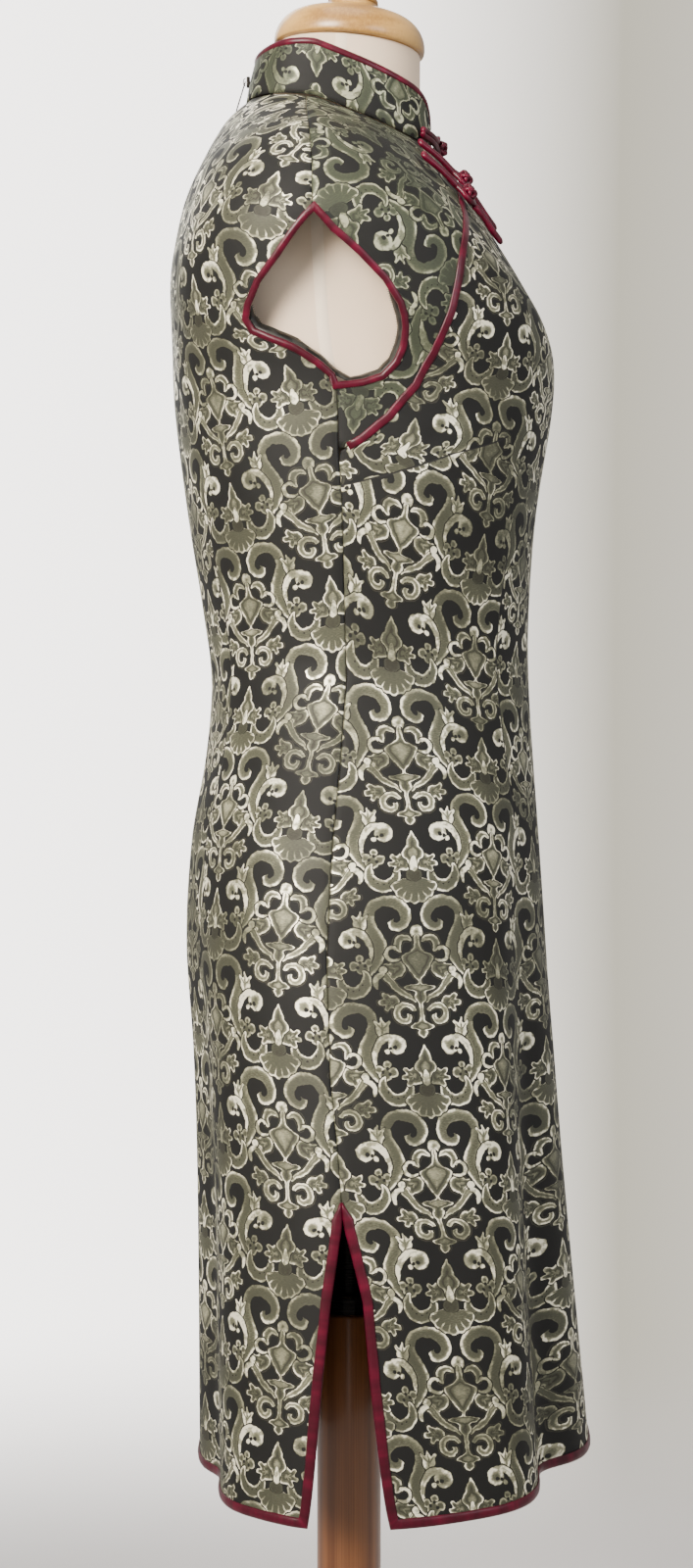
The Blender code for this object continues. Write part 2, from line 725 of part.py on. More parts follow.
def make_form(jersey):
    """The padded torso: rings of the form's own sections, closed at both ends."""
    count = 28
    levels = [i / 2 for i in range(2 * len(FORM) - 1)]
    work = bmesh.new()
    rings = []
    for level in levels:
        ring = [work.verts.new(place(FORM, 360 * i / count, level)) for i in range(count)]
        rings.append(ring)
    for upper, lower in zip(rings, rings[1:]):
        for i in range(count):
            j = (i + 1) % count
            work.faces.new((upper[i], upper[j], lower[j], lower[i]))
    work.faces.new(rings[0])
    work.faces.new(rings[-1])
    bmesh.ops.recalc_face_normals(work, faces=work.faces)
    mesh = bpy.data.meshes.new("form_torso")
    work.to_mesh(mesh)
    work.free()
    mesh.shade_smooth()
    new_object("form_torso", mesh, jersey)


def make_neck_cap(wood):
    """A domed wooden cap with a short finial, tilted forward with the neck."""
    dome = [(0, 0.0345), (0.0184, 0.0345), (0.0190, 0.0318), (0.0225, 0.0295), (0.0330, 0.0255)]
    dome += arc(0.0330, 0.0030, 0.0225, 80, 0, 7)
    dome += [(0.0550, 0.0008), (0.0540, 0.0), (0, 0.0)]
    finial = [(0, 0.062)] + arc(0.0084, 0.052, 0.0100, 85, 0, 5) + [(0.0184, 0.0348), (0, 0.0348)]
    for name, profile in (("neck_cap", dome), ("neck_finial", finial)):
        obj = turned(name, wood, profile)
        obj.location = (0, 0, 1.4632)
        obj.rotation_euler = (NECK_TILT, 0, 0)


def make_stand(wood, steel):
    rim = 0.010
    plate = [(0, BASE_THICK)] + arc(BASE_RADIUS - rim, BASE_THICK - rim, rim, 90, 0, 4)
    plate += [(BASE_RADIUS, 0.002), (BASE_RADIUS - 0.002, 0), (0, 0)]
    turned("stand_base", wood, plate, 48)
    foot = BASE_THICK + 0.0003
    top, bore = POLE_TOP_Z, BORE_RADIUS
    post = [(0, BORE_BOTTOM_Z), (bore, BORE_BOTTOM_Z), (bore, top), (POLE_RADIUS - 0.002, top)]
    post += [(POLE_RADIUS, top - 0.002), (POLE_RADIUS, foot), (0, foot)]
    turned("stand_pole", wood, post)
    low, high = top + 0.0003, top + 0.014
    ring = [(bore, high), (0.0195, high), (0.0215, high - 0.002), (0.0215, low), (bore, low)]
    turned("pole_ferrule", steel, ring + ring[:1])
    rod_top = FORM_BOTTOM_Z - 0.0003
    bar = [(0, rod_top), (ROD_RADIUS, rod_top), (ROD_RADIUS, ROD_BOTTOM_Z), (0, ROD_BOTTOM_Z)]
    turned("stand_rod", steel, bar)


def main():
    clear_scene()
    collection = bpy.data.collections.new("cheongsam")
    bpy.context.scene.collection.children.link(collection)
    brocade = make_material("brocade", (0.11, 0.11, 0.09), 0.5)
    satin = make_material("burgundy_satin", (0.24, 0.01, 0.03), 0.35)
    jersey = make_material("cream_jersey", (0.78, 0.72, 0.64), 0.8)
    wood = make_material("lacquered_beech", (0.55, 0.33, 0.12), 0.35)
    steel = make_material("dark_steel", (0.10, 0.10, 0.10), 0.3, 1.0)
    make_panels(brocade)
    make_collar(brocade, satin)
    make_bindings(satin)
    make_placket(satin)
    make_frogs(satin)
    make_zip(steel)
    make_form(jersey)
    make_neck_cap(wood)
    make_stand(wood, steel)


main()
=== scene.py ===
from math import cos, pi, radians, sin, tau

import bmesh
import bpy
import numpy as np
from mathutils import Matrix, Vector


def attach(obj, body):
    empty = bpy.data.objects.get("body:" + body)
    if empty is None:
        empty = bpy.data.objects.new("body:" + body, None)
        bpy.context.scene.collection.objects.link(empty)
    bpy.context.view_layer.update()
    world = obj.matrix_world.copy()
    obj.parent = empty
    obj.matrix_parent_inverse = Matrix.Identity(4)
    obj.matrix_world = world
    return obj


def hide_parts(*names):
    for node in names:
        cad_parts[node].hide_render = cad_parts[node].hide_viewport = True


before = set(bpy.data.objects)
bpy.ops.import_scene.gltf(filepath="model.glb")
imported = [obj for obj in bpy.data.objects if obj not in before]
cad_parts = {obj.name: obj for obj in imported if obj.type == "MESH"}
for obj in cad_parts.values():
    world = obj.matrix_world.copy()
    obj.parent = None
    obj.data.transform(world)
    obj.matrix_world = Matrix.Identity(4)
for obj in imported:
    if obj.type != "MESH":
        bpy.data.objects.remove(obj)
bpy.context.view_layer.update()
print("frame loaded")

# ---- camera, floor and light

view = {"place": (-1.95, 0.0, 0.946), "lens": 60.9, "shiftX": -0.00156, "shiftY": -0.01875}
studio = {"surround": "#f1eeea", "surroundStrength": 0.66, "backdropStrength": 4.2,
          # painted shade: the backdrop's stops darken towards the right
          "backdrop": [(0, "#fffaf6"), (0.45, "#efeae5"), (0.85, "#7b776c"), (1, "#858178")],
          "floorClear": 1.0, "floorGone": 2.6}
softBoxes = [  # name, place, aim, width, height, watts, spread in degrees, colour
    ("keyLight", (-2.4, 1.5, 2.3), (0, 0, 1.35), 1.6, 1.8, 27, 42, "#fff6ea"),
    ("fillLight", (-2.2, -2.0, 2.0), (0, 0, 1.35), 1.6, 1.6, 4, 50, "#eef2ff"),
    ("topLight", (-0.4, 0.1, 3.4), (0, 0, 1.2), 1.4, 1.4, 20, 180, "#fff8ef"),
    ("backLight", (2.2, 0.6, 2.2), (0, 0, 1.0), 1.8, 1.8, 34, 180, "#ffffff"),
]


def linearColour(hexColour):
    channels = [int(hexColour[i : i + 2], 16) / 255 for i in (1, 3, 5)]
    return [c / 12.92 if c <= 0.04045 else ((c + 0.055) / 1.055) ** 2.4 for c in channels]


def addNode(tree, kind, *values, points=None, stops=None, **settings):
    # adds one node with its settings, links or sets its inputs in order, returns its first output
    node = tree.nodes.new("ShaderNode" + kind if tree.bl_idname == "ShaderNodeTree" else kind)
    for key, value in settings.items():
        setattr(node, key, value)
    for socket, value in zip(node.inputs, values):
        if isinstance(value, bpy.types.NodeSocket):
            tree.links.new(value, socket)
        elif isinstance(value, str):
            socket.default_value = (*linearColour(value), 1)
        elif value is not None:
            socket.default_value = value
    if points:
        mapping = node.mapping
        mapping.use_clip = False
        mapping.extend = "HORIZONTAL"
        curve = mapping.curves[0].points
        curve[0].location, curve[1].location = points[0], points[-1]
        for x, y in points[1:-1]:
            curve.new(x, y)
        for point in curve:
            point.handle_type = "AUTO_CLAMPED"
        mapping.update()
    if stops:
        ramp = node.color_ramp.elements
        while len(ramp) < len(stops):
            ramp.new(0.5)
        for element, (position, colour) in zip(ramp, stops):
            element.position = position
            element.color = (*linearColour(colour), 1)
    return node.outputs[0] if node.outputs else None


def newMaterial(name):
    material = bpy.data.materials.new(name)
    material.use_nodes = True
    tree = material.node_tree
    return material, tree, tree.nodes["Principled BSDF"]


def buildStudio():
    camera = bpy.data.cameras.new("camera")
    camera.sensor_fit, camera.sensor_height, camera.lens = "VERTICAL", 36, view["lens"]
    camera.shift_x, camera.shift_y = view["shiftX"], view["shiftY"]
    eye = bpy.data.objects.new("camera", camera)
    eye.location, eye.rotation_euler = view["place"], (pi / 2, 0, -pi / 2)
    bpy.context.scene.collection.objects.link(eye)
    bpy.context.scene.camera = eye
    for name, place, aim, width, height, watts, spread, colour in softBoxes:
        light = bpy.data.lights.new(name, "AREA")
        light.shape, light.size, light.size_y = "RECTANGLE", width, height
        light.energy, light.color, light.spread = watts, linearColour(colour), radians(spread)
        lamp = bpy.data.objects.new(name, light)
        lamp.location = place
        lamp.rotation_euler = (Vector(aim) - Vector(place)).to_track_quat("-Z", "Y").to_euler()
        bpy.context.scene.collection.objects.link(lamp)
    world = bpy.data.worlds.new("surround")
    world.use_nodes = True
    tree = world.node_tree
    sky = tree.nodes["Background"]
    sky.inputs[0].default_value = (*linearColour(studio["surround"]), 1)
    sky.inputs[1].default_value = studio["surroundStrength"]
    aside = addNode(tree, "SeparateXYZ", addNode(tree, "TexCoord").node.outputs["Generated"]).node.outputs[1]
    # painted shade: the backdrop seen by the camera darkens towards the image's right, standing in for shade
    # on the wall there
    backdropShade = addNode(tree, "ValToRGB", addNode(tree, "MapRange", aside, 0.13, -0.14), stops=studio["backdrop"])
    backdrop = addNode(tree, "Background", backdropShade, studio["backdropStrength"])
    seen = addNode(tree, "LightPath").node.outputs["Is Camera Ray"]
    tree.links.new(addNode(tree, "MixShader", seen, sky.outputs[0], backdrop),
        tree.nodes["World Output"].inputs[0])
    bpy.context.scene.world = world
    plate = bmesh.new()
    bmesh.ops.create_circle(plate, cap_ends=True, segments=96, radius=3)
    mesh = bpy.data.meshes.new("studio_floor")
    plate.to_mesh(mesh)
    plate.free()
    floor = bpy.data.objects.new("studio_floor", mesh)
    bpy.context.scene.collection.objects.link(floor)
    material, tree, shader = newMaterial("matt_floor_paint")  # plain pale floor
    spot = addNode(tree, "TexCoord").node.outputs["Object"]
    cloud = addNode(tree, "TexNoise", spot, None, 1.5)
    tone = addNode(tree, "ValToRGB", cloud, stops=[(0.3, "#cfccca"), (0.7, "#d8d5d3")])
    tree.links.new(tone, shader.inputs["Base Color"])
    shader.inputs["Roughness"].default_value = 0.8
    far = addNode(tree, "VectorMath", spot, operation="LENGTH").node.outputs["Value"]
    gone = addNode(tree, "MapRange", far, studio["floorClear"], studio["floorGone"])
    gone.node.interpolation_type = "SMOOTHSTEP"
    soft = addNode(tree, "MixShader", gone, shader.outputs[0], addNode(tree, "BsdfTransparent"))
    tree.links.new(soft, tree.nodes["Material Output"].inputs[0])
    mesh.materials.append(material)
    floor.location.z = -0.0005


buildStudio()
print("studio ready")

# ---- the dress's surface: an angle round the body (0 front, 90 right side) and a level (0 neck, 16 hem)

dressRows = np.array([
    (0.059, 1.415, 0.025, 0.060, 1.384, 0.075, 1.421, 2.40, 2.1, 1.0),  # neck seam
    (0.090, 1.403, 0.025, 0.077, 1.367, 0.092, 1.404, 1.90, 2.0, 1.2),
    (0.128, 1.388, 0.025, 0.096, 1.337, 0.108, 1.373, 1.85, 2.1, 1.4),
    (0.158, 1.370, 0.024, 0.116, 1.303, 0.119, 1.344, 1.90, 2.3, 1.5),
    (0.180, 1.343, 0.023, 0.133, 1.271, 0.126, 1.310, 2.05, 2.4, 1.7),
    (0.190, 1.308, 0.023, 0.144, 1.248, 0.129, 1.280, 2.20, 2.5, 2.0),  # tip of the cap
    (0.180, 1.250, 0.012, 0.149, 1.225, 0.128, 1.238, 2.30, 2.5, 2.0),
    (0.164, 1.196, 0.004, 0.147, 1.190, 0.126, 1.192, 2.35, 2.4, 2.0),  # underarm
    (0.156, 1.120, 0.000, 0.136, 1.120, 0.117, 1.120, 2.30, 2.3, 2.0),
    (0.140, 1.050, 0.000, 0.131, 1.050, 0.106, 1.050, 2.20, 2.2, 2.0),
    (0.134, 1.000, 0.000, 0.131, 1.000, 0.100, 1.000, 2.20, 2.2, 2.0),  # waist
    (0.147, 0.945, 0.000, 0.134, 0.945, 0.104, 0.945, 2.20, 2.2, 2.0),
    (0.168, 0.885, 0.000, 0.138, 0.885, 0.114, 0.885, 2.30, 2.3, 2.0),
    (0.182, 0.810, 0.000, 0.143, 0.810, 0.118, 0.810, 2.30, 2.3, 2.0),
    (0.190, 0.730, 0.000, 0.149, 0.730, 0.113, 0.730, 2.30, 2.3, 2.0),
    (0.198, 0.631, 0.000, 0.157, 0.631, 0.110, 0.631, 2.30, 2.3, 2.0),  # slits begin
    (0.204, 0.436, 0.000, 0.174, 0.449, 0.108, 0.439, 2.30, 2.3, 2.0),  # hem
])
formRows = np.array([
    (0.0510, 1.4625, 0.000, 0.052, 1.4580, 0.052, 1.467, 2.00, 2.0, 1.0),  # under the cap
    (0.0500, 1.4360, 0.003, 0.052, 1.4200, 0.054, 1.441, 2.00, 2.0, 1.0),
    (0.0520, 1.4090, 0.022, 0.053, 1.3830, 0.061, 1.415, 2.00, 2.0, 1.0),  # neck root
    (0.0840, 1.3960, 0.023, 0.070, 1.3620, 0.085, 1.396, 1.90, 2.0, 1.2),
    (0.1220, 1.3800, 0.023, 0.089, 1.3310, 0.101, 1.365, 1.85, 2.1, 1.4),
    (0.1460, 1.3600, 0.022, 0.108, 1.2970, 0.112, 1.336, 1.90, 2.3, 1.5),  # shoulder
    (0.1540, 1.3300, 0.020, 0.125, 1.2650, 0.119, 1.303, 2.05, 2.4, 1.7),
    (0.1530, 1.2880, 0.016, 0.136, 1.2440, 0.122, 1.274, 2.20, 2.4, 2.0),
    (0.1500, 1.2380, 0.010, 0.141, 1.2220, 0.121, 1.232, 2.30, 2.4, 2.0),
    (0.1500, 1.1900, 0.004, 0.139, 1.1880, 0.119, 1.190, 2.35, 2.4, 2.0),
    (0.1410, 1.1200, 0.000, 0.127, 1.1200, 0.110, 1.120, 2.30, 2.3, 2.0),
    (0.1270, 1.0500, 0.000, 0.122, 1.0500, 0.099, 1.050, 2.20, 2.2, 2.0),
    (0.1220, 1.0000, 0.000, 0.121, 1.0000, 0.093, 1.000, 2.20, 2.2, 2.0),  # waist
    (0.1350, 0.9450, 0.000, 0.125, 0.9450, 0.096, 0.945, 2.20, 2.2, 2.0),
    (0.1560, 0.8850, 0.000, 0.129, 0.8850, 0.105, 0.885, 2.30, 2.3, 2.0),
    (0.1680, 0.8250, 0.000, 0.132, 0.8250, 0.108, 0.825, 2.30, 2.3, 2.0),  # hip
    (0.1670, 0.7900, 0.000, 0.130, 0.7900, 0.106, 0.790, 2.30, 2.3, 2.0),
])
skirtFolds = [  # angle, width in degrees, level it starts at, depth at the hem
    (33, 10, 10.5, 0.024), (53, 10, 11, -0.005), (152, 9, 11.5, 0.013), (133, 9, 11.5, -0.004),
    (-36, 12, 11, 0.020), (-57, 10, 11.5, -0.004), (-150, 11, 12, 0.011),
]
tipLevel, underarmLevel, slitLevel, hemLevel, placketEnd = 5, 7, 15, 16, 7.6
seamGap = 0.0004
armholeEdge = np.array([  # level, the front edge's y and the back edge's y
    (5.00, 0.0235, 0.0235), (5.25, 0.0115, 0.0350), (5.50, -0.0070, 0.0465),
    (5.75, -0.0235, 0.0600), (6.00, -0.0335, 0.0670), (6.15, -0.0360, 0.0685),
    (6.30, -0.0368, 0.0640), (6.42, -0.0363, 0.0520), (6.55, -0.0352, 0.0370),
    (6.75, -0.0305, 0.0205), (6.90, -0.0220, 0.0105), (6.97, -0.0090, 0.0092),
    (7.00, 0.0080, 0.0080),
])
placketLine = np.array([
    (0, 1), (0.5, 8), (1, 15.5), (1.5, 22.5), (2, 30), (2.5, 36.5), (3, 42), (4, 49.5), (5, 54.5),
    (5.5, 57.5), (6, 61.2), (6.6, 66.5), (7, 71.5), (7.3, 78.5), (7.5, 86), (7.6, 92),
])
sideLine = np.array([
    (7, 92), (7.6, 92.8), (9, 91.7), (10, 91), (11, 93), (12, 95.6), (13, 97.2), (14, 96.3),
    (15, 92), (15.25, 90.9), (16, 90.6),
])
shoulderLine = np.array([(0, 96), (1, 94.2), (2, 92.6), (5, 90.2)])
slitEdge = np.array([  # level, how far the front and the back edge stand from the seam line
    (15, 0.0021, 0.0021), (15.12, 0.0062, 0.0060), (15.25, 0.0115, 0.0110),
    (15.5, 0.0165, 0.0175), (16, 0.0285, 0.0275),
])
creases = [  # angle and level at each end, half-width and depth in mm; minus stands out
    (72.0, 5.2, 69.0, 6.9, 7, 1.6), (64.0, 5.0, 60.5, 6.6, 9, -1.0),  # beside the armhole's front
    (86.0, 1.2, 74.0, 4.2, 14, 1.3), (99.0, 1.6, 106.0, 4.4, 15, 1.4), (117.0, 3.0, 121.0, 6.2, 12, 1.3),
    (96.0, 9.9, 132.0, 9.7, 7, 1.5), (100.0, 10.25, 140.0, 10.15, 6, -0.9),
    (104.0, 10.5, 136.0, 10.45, 7, 1.2),
    (86.0, 9.8, 62.0, 9.9, 8, 1.0), (84.0, 10.4, 58.0, 10.3, 8, 1.0),
    (83.0, 7.9, 55.0, 7.1, 5, 1.1), (84.0, 8.3, 60.0, 7.5, 9, -0.8),  # along the bust dart
    (98.0, 12.3, 118.0, 12.9, 10, 1.3), (80.0, 12.6, 62.0, 13.3, 12, 1.3), (88.0, 13.4, 74.0, 14.2, 12, -1.0),
    (100.0, 13.6, 112.0, 14.5, 12, 1.0), (38.0, 9.6, 14.0, 9.9, 9, 1.1), (150.0, 9.9, 172.0, 10.1, 8, 1.2),
    (146.0, 10.6, 168.0, 10.4, 8, 1.0), (66.0, 14.2, 72.0, 15.8, 15, 1.5),
    (112.0, 14.0, 116.0, 15.9, 16, 1.6),
    (22.0, 12.5, 12.0, 13.5, 16, 1.2), (3.0, 13.4, -6.0, 15.8, 20, 1.4), (18.0, 2.0, 34.0, 4.6, 14, 1.1),
    (160.0, 2.2, 142.0, 5.0, 16, 1.2), (168.0, 5.6, 150.0, 7.6, 16, 1.1), (140.0, 7.0, 128.0, 8.6, 14, 1.1),
    (-72.0, 5.3, -68.0, 6.8, 8, 1.4), (-88.0, 1.4, -75.0, 4.4, 14, 1.2), (-101.0, 1.5, -108.0, 4.2, 15, 1.3),
    (-118.0, 3.4, -123.0, 6.4, 13, 1.2), (-95.0, 9.8, -130.0, 9.9, 8, 1.3),
    (-98.0, 10.4, -128.0, 10.3, 7, 1.0),
    (-86.0, 10.0, -60.0, 9.8, 8, 1.1), (-83.0, 8.0, -55.0, 7.2, 6, 1.0), (-80.0, 12.4, -64.0, 13.1, 12, 1.2),
    (-99.0, 12.6, -116.0, 13.2, 12, 1.3), (-64.0, 14.0, -70.0, 15.7, 15, 1.4),
    (-112.0, 13.8, -118.0, 15.8, 16, 1.3),
    (-40.0, 9.7, -16.0, 10.0, 9, 1.1), (-20.0, 12.2, -14.0, 13.4, 15, 1.2),
    (-150.0, 10.0, -172.0, 10.2, 8, 1.1),
    (-160.0, 2.4, -143.0, 5.2, 16, 1.1), (-24.0, 2.2, -40.0, 4.8, 14, 1.1),
    (174.0, 13.0, 178.0, 15.6, 18, 1.2),
]


def sectionAt(rows, level):
    last = len(rows) - 1
    index = np.clip(level.astype(int), 0, last - 1)
    t = (level - index)[:, None]
    a, b, c, d = (rows[np.clip(index + k, 0, last)] for k in (-1, 0, 1, 2))
    return b + ((c - a) * t + (2 * a - 5 * b + 4 * c - d) * t**2 + (3 * b - a - 3 * c + d) * t**3) / 2


def ringPoint(rows, angle, level):
    side, sideZ, middle, front, frontZ, back, backZ, frontSquare, backSquare, rise = sectionAt(rows, level).T
    c, k = np.cos(np.radians(angle)), np.sin(np.radians(angle))
    square, endY, endZ = (np.where(c > 0, a, b) for a, b in ((frontSquare, backSquare), (-front, back),
        (frontZ, backZ)))
    reach = (np.abs(c) ** square + np.abs(k) ** square) ** (-1 / square)
    share = np.minimum(np.abs(c) * reach, 1)
    return np.stack([-side * k * reach, middle + (endY - middle) * share,
        sideZ + (endZ - sideZ) * share**rise], 1)


def unit(vectors):
    return vectors / np.maximum(np.linalg.norm(vectors, axis=1, keepdims=True), 1e-9)


def plainDress(angle, level):
    points = ringPoint(dressRows, angle, level)
    depth = np.zeros(len(points))
    for foldAngle, width, start, fold in skirtFolds:
        turn = (angle - foldAngle + 180) % 360 - 180
        growth = np.clip((level - start) / (hemLevel - start), 0, None)
        depth += fold * growth**1.4 * np.exp(-((turn / width) ** 2))
    return points - unit(points * (1, 1, 0)) * depth[:, None]


def slopes(angle, level):
    around = plainDress(angle + 0.5, level) - plainDress(angle - 0.5, level)
    low, high = np.maximum(level - 0.02, 0), np.minimum(level + 0.02, hemLevel)
    return around, (plainDress(angle, high) - plainDress(angle, low)) / (high - low)[:, None]


def outward(angle, level):
    return unit(np.cross(*slopes(angle, level)))


def creaseDepth(points):
    depth = np.zeros(len(points))
    for a, b, half, deep in creaseLines:
        way = b - a
        share = np.clip((points - a) @ way / (way @ way), 0, 1)
        far = np.linalg.norm(points - a - share[:, None] * way, axis=1)
        depth += deep * np.sin(pi * np.clip(share, 0.03, 0.97)) ** 0.6 * np.exp(-((far / half) ** 2))
    return depth


creaseEnds = np.array([(c[0], c[1], c[2], c[3]) for c in creases])
creaseLines = list(zip(
    plainDress(creaseEnds[:, 0], creaseEnds[:, 1]), plainDress(creaseEnds[:, 2], creaseEnds[:, 3]),
    [c[4] / 1000 for c in creases], [c[5] / 1000 for c in creases],
))


def worn(angle, level, lift=0.0):
    # the cloth's middle with its creases, moved out by lift
    angle, level = np.asarray(angle, float), np.asarray(level, float)
    base = plainDress(angle, level)
    return base + outward(angle, level) * (np.broadcast_to(lift, len(base)) - creaseDepth(base))[:, None]


def across(angle, level, distance):
    angle = np.array(angle, float)
    for _ in range(12):
        angle = angle + distance / 12 / np.linalg.norm(slopes(angle, level)[0], axis=1)
    return angle


def walk(angle, level, way, distance):
    # the places reached by going over the surface along way
    angle, level = np.array(angle, float), np.array(level, float)
    for _ in range(6):
        around, down = slopes(angle, level)
        a, b, c = (around**2).sum(1), (around * down).sum(1), (down**2).sum(1)
        p, q = (around * way).sum(1), (down * way).sum(1)
        step = distance / 6 / (a * c - b * b)
        angle = angle + step * (c * p - b * q)
        level = np.clip(level + step * (a * q - b * p), 0.02, hemLevel)
    return angle, level


def angleAt(y, level):
    low, high = np.full(len(level), 40.0), np.full(len(level), 140.0)
    for _ in range(32):
        middle = (low + high) / 2
        ahead = plainDress(middle, level)[:, 1] < y
        low, high = np.where(ahead, middle, low), np.where(ahead, high, middle)
    return low


def sideEdge(level, back):
    # the cloth's edge on the right: shoulder seam, armhole, side seam, slit
    sign, column = (1, 2) if back else (-1, 1)
    shoulder = np.interp(level, *shoulderLine.T)
    seam = np.interp(level, *sideLine.T)
    gap = np.where(level < slitLevel, seamGap / 2, np.interp(level, slitEdge[:, 0], slitEdge[:, column]))
    armhole = angleAt(np.interp(level, armholeEdge[:, 0], armholeEdge[:, column]), level)
    edge = across(np.where(level <= tipLevel, shoulder, seam), level, sign * gap)
    return np.where((level > tipLevel) & (level < underarmLevel), armhole, edge)


def placketAngle(level):
    return np.interp(level, *placketLine.T)


def frontRight(level):
    return np.where(level <= placketEnd, across(placketAngle(level), level, -seamGap / 2),
        sideEdge(level, False))


def yokeStart(level):
    return across(placketAngle(level), level, seamGap / 2)


def yokeEnd(level):
    return sideEdge(level, False)


def frontLeft(level):
    return -sideEdge(level, False)


def backRight(level):
    return sideEdge(level, True)


def backLeft(level):
    return 360 - sideEdge(level, True)


def centreRight(level):
    return across(np.full(len(level), 180.0), level, -seamGap / 2)


def centreLeft(level):
    return across(np.full(len(level), 180.0), level, seamGap / 2)


# ---- mesh helpers

mergeDistance = 1e-6


def sheetMesh(name, points, uv=None, closed=False, side=None):
    rows, columns = points.shape[:2]
    index = np.arange(rows * columns).reshape(rows, columns)
    if closed:
        index = np.vstack([index, index[:1]])
    faces = np.stack([index[:-1, :-1], index[:-1, 1:], index[1:, 1:], index[1:, :-1]], -1).reshape(-1, 4)
    mesh = bpy.data.meshes.new(name)
    mesh.from_pydata(points.reshape(-1, 3).tolist(), [], faces.tolist())
    if uv is not None:
        for label, layout in (("cloth", uv), ("side", uv if side is None else side)):
            layer = mesh.uv_layers.new(name=label)
            layer.data.foreach_set("uv", layout.reshape(-1, 2)[faces.reshape(-1)].ravel())
    mesh.shade_smooth()
    return mesh


def runAlong(points):
    return np.concatenate([[0], np.linalg.norm(np.diff(points, axis=0), axis=1).cumsum()])


def clothArea(points):
    across, down = np.diff(points, axis=1)[:-1], np.diff(points, axis=0)[:, :-1]
    return np.linalg.norm(np.cross(across, down), axis=2).sum()


def cleanMesh(mesh, fill=True, move=None):
    # merges doubles, closes open ends and turns the faces outwards, then puts the mesh in its place
    work = bmesh.new()
    work.from_mesh(mesh)
    bmesh.ops.remove_doubles(work, verts=work.verts, dist=mergeDistance)
    if fill:
        bmesh.ops.holes_fill(work, edges=[e for e in work.edges if e.is_boundary])
    bmesh.ops.recalc_face_normals(work, faces=work.faces)
    if move:
        bmesh.ops.transform(work, matrix=move, verts=work.verts)
    work.to_mesh(mesh)
    work.free()
    mesh.shade_smooth()
    return mesh


def newPiece(name, mesh, materials, body, slot, *nodes):
    piece = bpy.data.objects.new(name, mesh)
    bpy.context.scene.collection.objects.link(piece)
    for material in materials:
        mesh.materials.append(material)
    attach(piece, body)
    if nodes:
        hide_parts(*nodes)
    return piece


def thicken(piece, wall, offset, inside=0, even=True):
    solid = piece.modifiers.new("wall", "SOLIDIFY")
    solid.thickness, solid.offset, solid.use_even_offset = wall, offset, even
    solid.material_offset = inside
    return piece


# ---- brocade: a damask of palmettes and scrolls, drawn in millimetres on the cloth

damask = {
    "column": 65.0, "repeat": 144.5,  # mm between columns and down one repeat
    "ground": "#0d0d0b", "shade": "#2c2b21", "sage": "#4c4d3d", "light": "#9d9b7f", "cream": "#fff9de",
}
# painted shade: a darker, greener copy of the same cloth's tones, standing in for the floats turned from the
# light
shadedDamask = dict(damask, shade="#23261c", sage="#3d4232", light="#6c6f58", cream="#b0b093")


def lobed(tree, point, centre, outline):
    # a closed shape round a centre: outline gives its radius by the angle from straight down, minus is inward
    local = addNode(tree, "VectorMath", point, (*centre, 0), operation="SUBTRACT")
    axes = addNode(tree, "SeparateXYZ", local).node.outputs
    angle = addNode(tree, "Math", axes[0], axes[1], operation="ARCTAN2")
    radius = addNode(tree, "FloatCurve", 1.0, angle, points=[(radians(a), r) for a, r in outline])
    far = addNode(tree, "VectorMath", local, operation="LENGTH").node.outputs["Value"]
    return addNode(tree, "Math", radius, far, operation="SUBTRACT"), angle, far


def curl(tree, point, centre, spine):
    # a band that winds round a centre: spine gives its radius and half-width by the angle from straight down
    outer, angle, _ = lobed(tree, point, centre, [(a, r) for a, r, _ in spine])
    offset = addNode(tree, "Math", outer, -1.0, operation="MULTIPLY")
    half = addNode(tree, "FloatCurve", 1.0, angle, points=[(radians(a), w) for a, _, w in spine])
    inside = addNode(tree, "Math", half, addNode(tree, "Math", offset, operation="ABSOLUTE"),
        operation="SUBTRACT")
    return inside, addNode(tree, "Math", half, offset, operation="SUBTRACT"), angle


def ribbon(tree, along, side, spine):
    # a band that runs along one axis: spine gives where it is sideways and its half-width
    middle = addNode(tree, "FloatCurve", 1.0, along, points=[(a, m) for a, m, _ in spine])
    half = addNode(tree, "FloatCurve", 1.0, along, points=[(a, w) for a, _, w in spine])
    offset = addNode(tree, "Math", side, middle, operation="SUBTRACT")
    inside = addNode(tree, "Math", half, addNode(tree, "Math", offset, operation="ABSOLUTE"),
        operation="SUBTRACT")
    return inside, addNode(tree, "Math", half, offset, operation="SUBTRACT")


def disc(tree, point, centre, radius):
    far = addNode(tree, "VectorMath", point, (*centre, 0), operation="DISTANCE").node.outputs["Value"]
    return addNode(tree, "Math", radius, far, operation="SUBTRACT")


def union(tree, *shapes):
    whole = shapes[0]
    for shape in shapes[1:]:
        whole = addNode(tree, "Math", whole, shape, operation="MAXIMUM")
    return whole


def overlay(tree, under, inside, tones):
    # lays a shape over what is drawn: tones gives its tone by the depth inside its edge
    tone = addNode(tree, "FloatCurve", 1.0, inside, points=tones)
    mask = addNode(tree, "MapRange", inside, tones[0][0] - 0.15, tones[0][0] + 0.15)
    return addNode(tree, "Mix", mask, None, under, tone, data_type="FLOAT")


# sage with a cream rim
rimmed = [(-0.7, 0.0), (-0.15, 0.05), (0.25, 0.95), (0.9, 0.9), (1.7, 0.46), (3.5, 0.42)]
softRim = [(-0.5, 0.0), (-0.1, 0.1), (0.3, 0.72), (0.9, 0.7), (1.6, 0.44), (3.5, 0.4)]
veined = [(-0.7, 0.0), (-0.15, 0.05), (0.25, 0.95), (0.9, 0.88), (1.7, 0.5), (2.8, 0.42), (3.9, 0.3),
    (5.0, 0.46), (8.0, 0.6)]
creamy = [(-0.6, 0.0), (-0.1, 0.1), (0.3, 0.8), (1.2, 1.0), (2.6, 0.8), (4.0, 0.52), (6, 0.46)]


